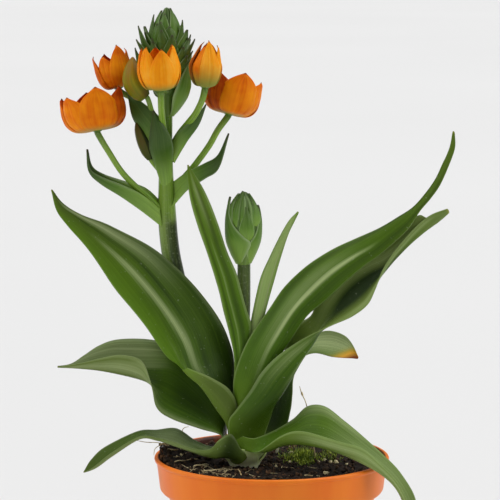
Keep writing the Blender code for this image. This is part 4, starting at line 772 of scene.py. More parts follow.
def leaf_finish():
    """Waxy living leaf: a smooth cuticle over fine parallel veins gives broad soft highlights; its colour
    holds painted highlight bands and painted shade.
    """
    made = new_finish("waxy_leaf", 0.33, 0.14)
    # Veins stand about 0.6 mm apart on a leaf 30 mm wide, drawn at about 0.7 mm so that they show
    veins = streaks(made, (44.0, 0.8, 1.0), 4.0, 0.75)
    place = add(made, "TexCoord", output="Object")
    # Clouds of deeper green, about 20 mm apart
    cloud = add(made, "TexNoise", {"Vector": place, "Scale": 45.0, "Detail": 3.0})
    under, pale, tone_and_shade, dry = (add(made, "Attribute", output="Fac", attribute_name=layer)
                              for layer in ("under", "pale", "tone_and_shade", "dry"))
    along = add(made, "SeparateXYZ", [add(made, "UVMap")], output=1)
    green = add(made, "ValToRGB", [along],
                stops=((0.0, "#6C8A22"), (0.6, "#44600E"), (0.16, "#3F6210"), (1.0, "#5A6C22")))
    deep = add(made, "MapRange", (cloud, 0.35, 0.7, 0.0, 0.45))
    streak = add(made, "MapRange", (veins, 0.4, 0.66, 0.0, 0.6))
    lower_side = add(made, "Math", (under, 0.6), operation="MULTIPLY")
    broken = add(made, "MapRange", (veins, 0.3, 0.7, 0.45, 1.35))
    # Pale margins, and pale bands that are painted highlights of the waxy sheen, broken by the veins
    bands = add(made, "Math", (pale, broken), operation="MULTIPLY", use_clamp=True)
    # Tone above 0 is a lighter yellow-green, partly the leaf's own and partly painted light; below 0 it is
    # painted shade
    lighter = add(made, "Math", (tone_and_shade, 0.0), operation="MAXIMUM")
    darker = add(made, "Math", (tone_and_shade, -1.0), operation="MULTIPLY", use_clamp=True)
    # Specks of lime from dried water, about 1 mm
    drops = add(made, "TexNoise", {"Vector": place, "Scale": 700.0, "Detail": 1.0})
    specks = add(made, "MapRange", (drops, 0.71, 0.8, 0.0, 0.22))
    dried = add(made, "MapRange", (dry, 0.0, 0.25))
    scorch = add(made, "ValToRGB", [dry], stops=((0.0, "#8F9A3C"), (1.0, "#7A3B12"), (0.5, "#D9A030")))
    coats = ((deep, "#263E08"), (streak, "#587818"), (lower_side, "#6E8038"), (bands, "#AEBE84"),
             (lighter, "#6E9A1C"), (darker, "#1A2C07"), (specks, "#B4C0A0"), (dried, scorch))
    sheen = add(made, "MapRange", (cloud, 0.3, 0.7, 0.3, 0.42))
    return complete(made, green, coats, (veins, 0.5, 0.0006), sheen)


def bract_finish():
    """Young bract: thinner and duller than a leaf, bloomed grey-green, with pale thin edges."""
    made = new_finish("bloomed_bract", 0.45, 0.28)
    # Veins 0.5 mm apart are drawn at about 0.7 mm so that they show
    veins = streaks(made, (18.0, 1.2, 1.0), 4.0, 0.65)
    along = add(made, "SeparateXYZ", [add(made, "UVMap")], output=1)
    green = add(made, "ValToRGB", [along],
                stops=((0.0, "#98BC54"), (1.0, "#2E4818"), (0.45, "#4E7616"), (0.8, "#365418")))
    streak = add(made, "MapRange", (veins, 0.38, 0.66, 0.0, 0.75))
    pale, tone_and_shade, dry = (add(made, "Attribute", output="Fac", attribute_name=layer)
                       for layer in ("pale", "tone_and_shade", "dry"))
    coats = (streak, "#6C8C3C"), (pale, "#A3B886"), (tone_and_shade, "#284010"), (dry, "#3A3220")
    return complete(made, green, coats, (veins, 0.25, 0.0004))


def stalk_finish():
    """Fleshy green stalk: faint lengthwise ribs, greyer and darker where it is older, near its foot, with
    painted shade on the right of that foot.
    """
    made = new_finish("fleshy_stalk", 0.34, 0.3)
    # Ribs about 1.5 mm apart round a stalk of 9 mm
    ribs = streaks(made, (18.0, 2.5, 1.0), 3.0)
    tone_and_shade = add(made, "Attribute", output="Fac", attribute_name="tone_and_shade")
    green = add(made, "ValToRGB", [tone_and_shade],
                stops=((0.0, "#1C280C"), (1.0, "#76A01C"), (0.2, "#44582A"), (0.5, "#456A12")))
    streak = add(made, "MapRange", (ribs, 0.4, 0.66, 0.0, 0.5))
    fresh = add(made, "MapRange", (tone_and_shade, 0.0, 0.3, 0.15, 1.0))
    streak = add(made, "Math", (streak, fresh), operation="MULTIPLY")
    # Pale pores, about 1 mm apart
    place = add(made, "TexCoord", output="Object")
    pores = add(made, "TexNoise", {"Vector": place, "Scale": 900.0, "Detail": 2.0})
    pores = add(made, "MapRange", (pores, 0.54, 0.7, 0.0, 0.28))
    return complete(made, green, ((streak, "#A2BE58"), (pores, "#98A67C")), (ribs, 0.2, 0.0004))


def petal_finish():
    """Orange petal: thin moist tissue that glows where light passes, redder at its edges and inside."""
    made = new_finish("orange_petal", 0.55, 0.1, (0.25, (1.0, 0.45, 0.1), 0.0015))
    # Veins 0.4 mm apart are drawn at about 0.9 mm so that they show
    veins = streaks(made, (14.0, 0.9, 1.0), 2.0)
    place = add(made, "TexCoord", output="Object")
    # Mottling about 8 mm across
    cloud = add(made, "TexNoise", {"Vector": place, "Scale": 130.0, "Detail": 2.0})
    warm, under, olive, dry = (add(made, "Attribute", output="Fac", attribute_name=layer)
                               for layer in ("warm", "under", "olive", "dry"))
    warm = add(made, "Math", (under, 0.12, warm), operation="MULTIPLY_ADD")
    mottled = add(made, "MapRange", (cloud, 0.3, 0.7, -0.13, 0.13))
    streaked = add(made, "MapRange", (veins, 0.3, 0.7, -0.08, 0.11))
    for change in (mottled, streaked):
        warm = add(made, "Math", (warm, change), operation="ADD")
    orange = add(made, "ValToRGB", [warm],
                 stops=((0.0, "#FBB43A"), (1.0, "#9C3402"), (0.3, "#F79A0A"), (0.65, "#E06C02")))
    return complete(made, orange, ((olive, "#848C3C"), (dry, "#4A2A12")), (veins, 0.2, 0.0004))


def bud_finish():
    """Closed bud: olive green with the orange of its petals showing along the seams."""
    made = new_finish("closed_bud", 0.46, 0.2)
    # Veins about 1.2 mm apart round a bud of 11 mm
    veins = streaks(made, (30.0, 1.2, 1.0), 2.0)
    along = add(made, "SeparateXYZ", [add(made, "UVMap")], output=1)
    olive = add(made, "ValToRGB", [along], stops=((0.0, "#5A7416"), (1.0, "#96680C"), (0.5, "#989014")))
    streak = add(made, "MapRange", (veins, 0.35, 0.7, 0.0, 0.45))
    warm, tone_and_shade = (add(made, "Attribute", output="Fac", attribute_name=layer)
                  for layer in ("warm", "tone_and_shade"))
    place = add(made, "TexCoord", output="Object")
    # Stains of orange, about 7 mm apart
    cloud = add(made, "TexNoise", {"Vector": place, "Scale": 140.0, "Detail": 3.0})
    stain = add(made, "MapRange", (cloud, 0.5, 0.75, 0.0, 0.5))
    warm = add(made, "Math", (warm, stain), operation="MAXIMUM")
    # The tone darkens the bud, by its own darkness and by painted shade on its right side
    coats = (streak, "#4E5E10"), (warm, "#A4560C"), (tone_and_shade, "#2C3412")
    return complete(made, olive, coats, (veins, 0.2, 0.0004))


def speckled_finish(name, roughness, dark, light, grain, low=0.4, high=0.65, depth=0.0004, strength=0.5):
    """Grainy natural stuff in two tones; grain is how many grains stand in a metre."""
    made = new_finish(name, roughness, 0.3)
    place = add(made, "TexCoord", output="Object")
    grains = add(made, "TexNoise", {"Vector": place, "Scale": grain, "Detail": 4.0, "Roughness": 0.6})
    share = add(made, "MapRange", (grains, low, high))
    return complete(made, dark, ((share, light),), (grains, strength, depth))


def pot_finish():
    """Moulded polypropylene: even satin orange, with faint flow marks, and soil film and painted shade
    inside.
    """
    made = new_finish("moulded_polypropylene", 0.42, 0.3)
    place = add(made, "TexCoord", output="Object")
    # Flow marks about 17 mm apart, drawn out five times as far up the wall
    upright = add(made, "Mapping", {"Vector": place, "Scale": (60.0, 60.0, 12.0)})
    flow = add(made, "TexNoise", {"Vector": upright, "Scale": 1.0, "Detail": 4.0})
    marks = add(made, "MapRange", (flow, 0.35, 0.7))
    # Film of soil in patches of about 5 mm, dark enough inside to paint the wall's shade as well
    film = add(made, "TexNoise", {"Vector": place, "Scale": 220.0, "Detail": 5.0})
    inside = add(made, "Attribute", output="Fac", attribute_name="inside")
    soil_film_and_shade = add(made, "MapRange", (film, 0.35, 0.6, 0.7, 0.97))
    soil_film_and_shade = add(made, "Math", (soil_film_and_shade, inside), operation="MULTIPLY")
    sheen = add(made, "MapRange", (flow, 0.3, 0.7, 0.38, 0.48))
    # Fine moulding grain, about 0.5 mm
    skin = add(made, "TexNoise", {"Vector": place, "Scale": 1800.0, "Detail": 2.0})
    # Inside, the dark brown is soil film and painted shade of the inner wall
    coats = (marks, "#F0821C"), (soil_film_and_shade, "#3C160A")
    return complete(made, "#EA7312", coats, (skin, 0.06, 0.0003), sheen)


def neck_finish():
    """Neck of the bulb: pale fleshy leaf bases with fine upright veins."""
    made = new_finish("fleshy_neck", 0.45, 0.3, (0.3, (0.8, 1.0, 0.4), 0.003))
    # Veins about 0.8 mm apart round a neck of 16 mm
    veins = streaks(made, (60.0, 2.0, 1.0), 3.0)
    tone_and_shade = add(made, "Attribute", output="Fac", attribute_name="tone_and_shade")
    pale = add(made, "ValToRGB", [tone_and_shade], stops=((0.0, "#EEEAD0"), (1.0, "#BCD482"), (0.55, "#E0E6BC")))
    share = add(made, "MapRange", (veins, 0.35, 0.7))
    veined = add(made, "Math", (share, 0.4), operation="MULTIPLY")
    return complete(made, pale, ((veined, "#9CB264"),), (veins, 0.25, 0.0005))


# Pot, soil and neck

def make_pot(finish):
    """The pot with its band, rolled rim and drain holes."""
    pot = turned("pot_shell", along_profile(POT_PROFILE, step=6.0, corner_radius=0.7), cols=144)
    cutters = []
    for hole in range(DRAIN_HOLES):
        at = around(DRAIN_CIRCLE, 2 * math.pi * (hole + 0.5) / DRAIN_HOLES, 1.0) * MM
        bpy.ops.mesh.primitive_cylinder_add(vertices=32, radius=DRAIN_RADIUS * MM, depth=6 * MM,
                                            location=at)
        bpy.ops.object.transform_apply(location=True, rotation=True, scale=True)
        cutters.append(bpy.context.object)
    cutter = gather("drain_cutter", cutters)
    holes = pot.modifiers.new("holes", "BOOLEAN")
    holes.operation = "DIFFERENCE"
    holes.object = cutter
    finish_modifiers(pot)
    bpy.data.objects.remove(cutter)
    spots = [(math.hypot(vert.co.x, vert.co.y) / MM, vert.co.z / MM) for vert in pot.data.vertices]

    def inside(radius, height):
        wall = BAND_INNER_RADIUS - (POT_HEIGHT - height) * BAND_SLOPE
        return ramp(wall - radius, -0.2, 0.6) * ramp(height, BAND_FOOT, BAND_FOOT + 1.0)

    paint(pot, spots, "inside", inside)
    dress(pot, finish, "pot")
    pot.data.set_sharp_from_angle(angle=math.radians(50))


def soil_height(x, y):
    """The heaped surface of the part, with finer crumbs."""
    away = (x - SOIL_HEAP_AT[0]) ** 2 + (y - SOIL_HEAP_AT[1]) ** 2
    heap = SOIL_HEAP * math.exp(-away / (2 * SOIL_HEAP_SPREAD ** 2))
    crumbs = math.sin(0.37 * x + 1.0) * math.cos(0.33 * y) + 0.6 * math.sin(0.8 * x + 0.9 * y)
    fine = noise.noise(Vector((x, y, 0.0)) * 0.5) * 1.1 + noise.noise(Vector((x, y, 9.0)) * 1.3) * 0.6
    return SOIL_LEVEL + heap + SOIL_CRUMBS * crumbs + fine


def make_soil(finish):
    """The peat that fills the pot, crumbly on top."""
    top = [(SOIL_RADIUS * ring / SOIL_RINGS, SOIL_LEVEL) for ring in range(SOIL_RINGS + 1)]

    def wobble(x, y, height, turn):
        below = SOIL_LEVEL - height
        return Vector((x, y, soil_height(x, y) - below if below <= SOIL_EDGE else height))

    dress(turned("soil_body", top + SOIL_SIDE, cols=260, wobble=wobble), finish, "soil")


def on_soil(draw, reach=54.0):
    """A random place on the soil, clear of the neck."""
    while True:
        x, y = draw.uniform(-reach, reach), draw.uniform(-reach, reach)
        clear = (x - NECK_AT[0]) ** 2 + (y - NECK_AT[1]) ** 2 > NECK_CLEARANCE ** 2
        if x * x + y * y < reach * reach and clear:
            return x, y


def lump(divisions, draw):
    """One rough grain, 1 mm in radius."""
    bpy.ops.mesh.primitive_ico_sphere_add(subdivisions=divisions, radius=MM)
    grain = bpy.context.object
    for vert in grain.data.vertices:
        vert.co *= draw.uniform(0.7, 1.25)
    return grain


def scatter(name, source, places):
    """Copies of one shape, each with its own mesh, turned and sized as listed, joined to one."""
    copies = []
    for at, turn, size in places:
        copy = source.copy()
        copy.data = source.data.copy()
        copy.data.transform(Matrix.Translation(at * MM) @ turn @ Matrix.Diagonal((*size, 1.0)))
        bpy.context.scene.collection.objects.link(copy)
        copies.append(copy)
    bpy.data.objects.remove(source)
    return gather(name, copies)


def any_turn(draw, tilt=math.pi):
    turn = Matrix.Rotation(draw.uniform(0, 2 * math.pi), 4, "Z")
    for axis in ("X", "Y"):
        turn = turn @ Matrix.Rotation(draw.uniform(-tilt, tilt), 4, axis)
    return turn


def make_crumbs(finish, name, count, sizes, seed, on_rim=()):
    """Loose crumbs lying on the soil, one in seven against the left of the rim, and those listed."""
    draw = random.Random(seed)
    places = []
    for crumb in range(count):
        x, y = on_soil(draw)
        if crumb % 7 == 0:
            turn, out = draw.uniform(*RIM_CRUMB_TURNS), draw.uniform(*RIM_CRUMB_CIRCLE)
            x, y = out * math.cos(turn), out * math.sin(turn)
        size = draw.uniform(*sizes)
        at = Vector((x, y, soil_height(x, y) + size * 0.25))
        if math.hypot(x, y) > RIM_CRUMB_DROP_FROM:
            at.z -= draw.uniform(0.0, RIM_CRUMB_DROP)
        turn = any_turn(draw)
        places.append((at, turn, (size, size * draw.uniform(0.6, 1.0), size * draw.uniform(0.5, 0.9))))
    places.extend((Vector(at), any_turn(draw, 0.3), size) for at, size in on_rim)
    dress(scatter(name, lump(1, draw), places), finish, "soil")


def fibre(at, heading, length, radius, draw, lift=1.0):
    """One bent straw fibre that lies on the soil."""
    way_x, way_y = math.cos(heading), math.sin(heading)
    ends = [soil_height(at[0] + way_x * length * share, at[1] + way_y * length * share)
            for share in (-0.5, 0.5)]
    path = []
    for step in range(5):
        share = step / 4 - 0.5
        x = at[0] + way_x * length * share + draw.uniform(-0.02, 0.02) * length
        y = at[1] + way_y * length * share + draw.uniform(-0.02, 0.02) * length
        within = min(1.0, 53.5 / math.hypot(x, y))
        height = ends[0] + (ends[1] - ends[0]) * (share + 0.5)
        height = height + 0.3 + lift * draw.uniform(0.1, 0.3) * (1 + step % 2)
        path.append((x * within, y * within, height))
    return stem("fibre", path, [radius, radius, radius * 0.8, radius * 0.7], rows=10, cols=5)


def make_fibres(finish):
    """Straw and root fibres, thickest at the front left, and the longer ones that are listed."""
    draw = random.Random(SEED + 1)
    fibres = []
    for number in range(FIBRES):
        x, y = on_soil(draw, 52.0)
        if number < FRONT_FIBRES:
            x, y = (draw.gauss(middle, spread) for middle, spread in FRONT_FIBRES_AT)
            if x * x + y * y > 53 ** 2:
                x, y = x * 0.8, y * 0.8
        heading, length = draw.uniform(0, math.pi), draw.uniform(3, 10)
        fibres.append(fibre((x, y), heading, length, draw.uniform(0.08, 0.17), draw))
    for place, heading, length in LONG_FIBRES:
        fibres.append(fibre(place, heading, length, 0.35, draw, 2.0))
    dress(gather("soil_fibres", fibres), finish, "soil")


def make_perlite(finish):
    """White grains of perlite."""
    draw = random.Random(SEED + 2)
    small = [(*on_soil(draw), draw.uniform(0.3, 0.7)) for grain in range(SMALL_PERLITE)]
    places = []
    for x, y, size in PERLITE + small:
        at = Vector((x, y, soil_height(x, y) + size * 0.45))
        places.append((at, any_turn(draw), (size, size * 0.85, size * 0.7)))
    dress(scatter("soil_perlite", lump(2, draw), places), finish, "soil")


def make_moss(finish):
    """A cushion of moss: one shoot of pointed leaflets, copied."""
    draw = random.Random(SEED + 3)
    leaflets = []
    for leaflet in range(7):
        def place(u, v):
            wide = 0.22 * math.sin(math.pi * min(v + 0.15, 1.0))
            height = 0.25 + 0.28 * leaflet + 1.0 * v * v
            return around(0.12 + 1.15 * v, GOLDEN_ANGLE * leaflet, height, wide * (2 * u - 1))

        leaflets.append(surface("leaflet", 2, 2, place, {})[0])
    shoot = gather("moss_shoot", leaflets)
    places = []
    for middle, spread, count in MOSS_CUSHIONS:
        for number in range(count):
            x, y = draw.gauss(middle[0], spread[0]), draw.gauss(middle[1], spread[1])
            size = draw.uniform(0.7, 1.2)
            at = Vector((x, y, soil_height(x, y) - 0.2))
            places.append((at, any_turn(draw, 0.5), (size, size, size * 1.9)))
    dress(scatter("soil_moss", shoot, places), finish, "soil")


def make_neck(finish):
    """The bulb and its neck, wrapped in the sheaths of the lowest leaves."""
    profile = along_profile(NECK_PROFILE, step=1.5, corner_radius=1.2)

    def wobble(x, y, height, turn):
        swell = 1 + 0.03 * math.cos(3 * turn + 1.0) * ramp(height, 90, 100)
        x, y = (middle + (value - middle) * swell for value, middle in zip((x, y), NECK_AT))
        return Vector((x, y, height))

    def green(u, v):
        return ramp(profile[round(v * (len(profile) - 1))][1], 100.0, 111.0)

    neck = turned("bulb_neck_body", profile, cols=72, centre=NECK_AT, wobble=wobble, layers={"tone_and_shade": green})
    dress(neck, finish, "bulb_neck")
    for number, (facing, half, low, top, out) in enumerate(SHEATHS):
        def place(u, v):
            swing = math.radians(facing + (2 * u - 1) * half * (1 - 0.45 * v * v))
            height = low + (top - low) * v * (1 - 0.25 * (2 * u - 1) ** 2)
            radius = smooth_value(SHEATH_RADII, ramp(height, 95, 113)) + out * (1 - 0.5 * off_middle(u))
            return around(radius, swing, height, centre=NECK_AT)

        layers = {"tone_and_shade": lambda u, v: 0.2 + 0.8 * v}
        sheath = sheet(f"bulb_neck_sheath_{number + 1}", 24, 30, place, layers, middle=0.8, edge_share=0.6)
        dress(sheath, finish, "bulb_neck")


def make_threads(straw, fleshy_neck):
    """A dry grass thread with its joint behind the right leaf, root threads at the left, and a shred."""
    sprig = [stem("sprig", SPRIG, SPRIG_RADII, rows=50, cols=6),
             stem("joint", SPRIG_JOINT, SPRIG_JOINT_RADII, rows=10, cols=8)]
    threads = [stem("thread", path, ROOT_THREAD_RADII, rows=30, cols=6) for path in ROOT_THREADS]
    for name, pieces in (("soil_sprig", sprig), ("soil_threads", threads)):
        dress(gather(name, pieces), straw, "soil")

    def place(u, v):
        height = 111.0 + 7.5 * v + 0.6 * math.sin(9 * u)
        return Vector((2.2 + 2.6 * v + 0.7 * (2 * u - 1), -22.5 - 1.0 * v, height))

    shred = sheet("bulb_neck_shred", 12, 4, place, {"tone_and_shade": lambda u, v: 0.0}, middle=0.5, edge_share=0.6)
    dress(shred, fleshy_neck, "bulb_neck")


# Leaves, stalks and bracts

def make_leaf(name, stations, finish):
    """A leaf through its three rails, thick along the middle and faintly rippled."""
    tone_and_shade, upper_is_back, bands = LEAF_LOOKS[name]
    rails_at = across_rails(stations)

    def place(u, v):
        point = rails_at(u, v)
        return point + noise.noise_vector(point * 0.06) * LEAF_RIPPLE * off_middle(u)

    def bands_at(u, v, sign):
        most = 0.0
        for foot, tip, half, strength, first, last in bands:
            if strength * sign > 0:
                stretch = ramp(v, first - 0.1, first + 0.15) * (1 - ramp(v, last - 0.12, last + 0.03))
                most = max(most, abs(strength) * bump_at(u, foot + (tip - foot) * v, half) * stretch)
        return most

    def dry(u, v):
        scorched = name == "leaf_right_back"
        return ramp(v + 0.25 * (1 - u), 0.88, 1.14) if scorched else 0.12 * ramp(v, 0.985, 1.0)

    # Pale margins and bands of painted highlight; the tone across the leaf and the dark bands are painted
    # shade, partly the leaf's own tone
    layers = {"pale": lambda u, v: max(0.45 * ramp(off_middle(u), 0.94, 1.0), bands_at(u, v, 1)),
              "tone_and_shade": lambda u, v: tone_and_shade[0] + (tone_and_shade[1] - tone_and_shade[0]) * u - bands_at(u, v, -1), "dry": dry}
    blade = sheet(name + "_blade", LEAF_ROWS, LEAF_COLS, place, layers, LEAF_MIDDLE, LEAF_EDGE_SHARE,
                  upper_is_back)
    dress(blade, finish, name)


def make_stalks(finish, bract):
    """The main stalk with its flower stalks and large bracts, and the short stalk."""
    joint = Vector(MAIN_HEAD["foot"]).lerp(Vector(MAIN_HEAD["tip"]), 0.08)
    main = stem("stalk_main_stem", MAIN_STALK + [joint], MAIN_STALK_RADII + MAIN_STALK_RADII[-1:],
                rows=130, cols=40, lobes=9, groove=0.012)
    spots = [(vert.normal.x, vert.co.z / MM) for vert in main.data.vertices]

    # Fresh green above; below, the old stalk is greyer, painted lighter on its side that faces left and near
    # black on its right as painted shade
    def tone_and_shade(right, height):
        fresh = ramp(height, *FRESH_STALK)
        return 0.66 * fresh + 0.25 * (1 - ramp(right, -0.5, 0.6)) * (1 - fresh)

    paint(main, spots, "tone_and_shade", tone_and_shade)
    dress(main, finish, "stalk_main")
    for name, (path, radii) in FLOWER_STALKS.items():
        if name in FLOWERS:
            joint = flower_point(FLOWERS[name], (0, 0, SEAT_HEIGHT * 0.6))
        else:
            joint = Vector(SINGLE_BUDS[name][0][0]).lerp(Vector(SINGLE_BUDS[name][0][1]), 0.2)
        layers = {"tone_and_shade": lambda u, v: 0.85 - 0.5 * ramp(v, 0.55, 1.0)}
        stalk = stem(f"stalk_main_to_{name}", path + [joint], radii + radii[-1:],
                     rows=48, cols=20, lobes=5, groove=0.02, layers=layers)
        dress(stalk, finish, "stalk_main")
    for name, stations in BRACTS.items():
        pale_foot = BRACT_PALE_FEET[name]
        layers = {"pale": lambda u, v: 0.5 * ramp(off_middle(u), 0.86, 1.0) * ramp(v, 0.15, 0.4),
                  "tone_and_shade": lambda u, v: 0.6 * ramp(v, pale_foot, pale_foot + 0.5),
                  "dry": lambda u, v: 0.8 * ramp(v, 0.92, 1.0)}
        large = sheet(f"stalk_main_bract_{name}", 50, 14, across_rails(stations), layers,
                      middle=1.4, edge_share=0.5)
        dress(large, bract, "stalk_main")
    joint = Vector(SHORT_HEAD["foot"]).lerp(Vector(SHORT_HEAD["tip"]), 0.1)
    layers = {"tone_and_shade": lambda u, v: 0.04 + 0.1 * v}
    short = stem("stalk_short_stem", SHORT_STALK + [joint], SHORT_STALK_RADII + SHORT_STALK_RADII[-1:],
                 rows=66, cols=28, lobes=7, groove=0.012, layers=layers)
    dress(short, finish, "stalk_short")


# Flowers

def petal_place(shape, turn, inset, number):
    """Where a petal's points lie in its flower's frame: seat, belly, mouth and a hooked tip."""
    belly, wide, taper = shape["belly"], shape["petal"], shape["taper"]
    mouth = shape["mouth"] + shape["open"][number]
    tall = shape["height"] * shape["reach"][number]
    radii = [1.6, belly * 0.62, belly * 0.89, belly, (belly + mouth) / 2, mouth]
    heights = [1.4, tall * 0.09, tall * 0.25, tall * 0.5, tall * 0.78, tall]
    widths = [1.2, wide * 0.7, wide, wide, wide * 0.82, PETAL_TIP]

    def place(u, v):
        step = inset * min(1.0, v * 3)
        radius = smooth_value(radii, v) - step
        height = smooth_value(heights, v) + step * (0.5 - v)
        width = max(smooth_value(widths, v), PETAL_TIP)
        if v > taper:
            width = max(wide * (1 - ((v - taper) / (1 - taper)) ** 1.25), PETAL_TIP * 0.5)
        w = 2 * u - 1
        swing = turn + w * width / max(radius, width * 0.9)
        crease = 0.45 * bump_at(w, 0.0, 0.16) * ramp(v, 0.1, 0.35) * (1 - ramp(v, 0.8, 1.0))
        hook = 0.7 * ramp(v, 0.92, 1.0)
        cup = radius - PETAL_FLATNESS * w * w * width * v - crease - hook
        return flower_point(shape, around(cup, swing, height))

    return place


def make_flower(name, shape, petal_orange, stalk_green, ovary_dark, anther_yellow):
    """Six petals in two rings of three on a seat, round an ovary and six stamens."""
    green, reach_up, depths = FLOWER_LOOKS[name]
    petals = []
    for ring in range(2):
        for petal in range(3):
            number = 2 * petal + ring
            turn = 2 * math.pi * (petal + ring / 2) / 3
            brown = max(depths[number] - 1.0, 0.0)
            deep = 0.5 if brown else depths[number]

            def dry(u, v):
                return max(0.9 * ramp(v, 0.95, 0.99), brown * ramp(off_middle(u), 0.2, 1))

            def warm(u, v):
                return deep + 0.06 * ramp(off_middle(u), 0.75, 1.0) + 0.1 * ramp(v, 0.6, 1.0)

            layers = {"dry": dry, "warm": warm,
                      "olive": lambda u, v: green * (1 - ramp(v, reach_up * 0.35, reach_up))}
            place = petal_place(shape, turn, ring * PETAL_RING_STEP, number)
            petals.append(sheet("petal", 40, 18, place, layers, middle=0.7, edge_share=0.35))
    dress(gather(name + "_petals", petals), petal_orange, name)

    path = [flower_point(shape, (0, 0, height)) for height in (0.3, SEAT_HEIGHT / 2, SEAT_HEIGHT)]
    radii = [SEAT_RADIUS * 0.5, SEAT_RADIUS, SEAT_RADIUS * 0.75]
    seat = stem(name + "_seat", path, radii, rows=16, cols=24, lobes=6, groove=0.05,
                layers={"tone_and_shade": lambda u, v: 0.5})
    dress(seat, stalk_green, name)

    low = SEAT_HEIGHT + 0.3
    path = [flower_point(shape, (0, 0, low + rise)) for rise in (0.0, 1.7, 5.2, 7.2, 8.7)]
    ovary = stem(name + "_ovary", path, OVARY_RADII, rows=30, cols=30, lobes=3, groove=0.09)
    dress(ovary, ovary_dark, name + "_heart")
    reach = min(shape["belly"] * 0.42, STAMEN_REACH)
    filaments, anthers = [], []
    for stamen in range(STAMENS):
        turn = 2 * math.pi * (stamen + 0.5) / STAMENS
        path = [flower_point(shape, around(out, turn, low + rise))
                for out, rise in ((1.7, 1.1), (reach * 0.8, 3.4), (reach, 5.7), (reach, 7.6))]
        filaments.append(stem("filament", path, FILAMENT_RADII, rows=14, cols=10))
        path = [flower_point(shape, around(reach, turn, low + 8.0 - abs(side) * 0.2, side))
                for side in (-1.5, -0.7, 0.7, 1.5)]
        anthers.append(stem("anther", path, ANTHER_RADII, rows=12, cols=12, lobes=2, groove=0.15))
    dress(gather(name + "_filaments", filaments), stalk_green, name + "_heart")
    dress(gather(name + "_anthers", anthers), anther_yellow, name + "_heart")


def make_bud(name, path, radius, darkness, finish):
    """A closed bud with the seams of its six petals, and painted shade on its right side."""
    path = [Vector(point) for point in path]
    path = [smooth_point(path, share) for share in (0.0, 0.2, 0.5, 0.8, 1.0)]
    radii = [radius * 0.5, radius * 0.92, radius, radius * 0.68, 0.5]
    layers = {"warm": lambda u, v: 0.5 * ramp(-math.cos(12 * math.pi * u), 0.3, 1.2) * ramp(v, 0.1, 0.6)}
    bud = stem(name + "_body", path, radii, rows=48, cols=48, lobes=6, groove=0.035, layers=layers)
    # Painted shade: the bud darkens where its surface faces right
    spots = [(vert.normal.x,) for vert in bud.data.vertices]
    paint(bud, spots, "tone_and_shade", lambda right: min(darkness + 0.5 * ramp(right, 0.1, 0.9), 1.0))
    dress(bud, finish, name)


# Heads

def wrap_place(head, facing, stations, crease=0.5):
    """Where a bract wrapped round a head lies; a station is (height, half its angle, way out)."""
    tall = (Vector(head["tip"]) - Vector(head["foot"])).length
    stations = [Vector(station) for station in stations]

    def place(u, v):
        height, half, out = smooth_point(stations, v)
        reach = smooth_value(head["core"], min(max(height / tall, 0.0), 1.0)) + out
        half = max(half, PETAL_TIP * 0.5 / reach)
        ridge = reach + crease * (1 - off_middle(u)) ** 1.4
        return head_point(head, ridge, facing + (2 * u - 1) * half, height)

    return place


def bract_sheet(name, place, rows, cols, middle, tone_and_shade, dry=0.75):
    layers = {"pale": lambda u, v: 0.75 * ramp(off_middle(u), 0.82, 1.0) * (1 - 0.4 * v),
              "tone_and_shade": lambda u, v: tone_and_shade, "dry": lambda u, v: dry * ramp(v, 0.86, 1.0)}
    return sheet(name, rows, cols, place, layers, middle, edge_share=0.45)


def side_scale_place(head, facing, half, foot, middle, tip):
    """Where a bract lies that stands off the head; foot, middle and tip are (height, way out)."""
    (low, near), (rise, out), (high, far) = foot, middle, tip
    rib = [Vector(point) for point in ((near - 1.5, low), ((near + out) / 2 + 0.6, (low + rise) / 2),
                                       (out, rise), (far, high))]

    def place(u, v):
        reach, height = smooth_point(rib, v)
        wide = max(SIDE_SCALE_WIDTH * half * (1 - max(v - 0.3, 0.0) / 0.7) ** 0.9, 0.12)
        side = (2 * u - 1) * wide
        away = reach + 0.5 * (1 - off_middle(u)) * (1 - v) - SIDE_SCALE_CUP * side * side / max(wide, 1.0)
        return head_point(head, away, math.radians(facing), height, side)

    return place


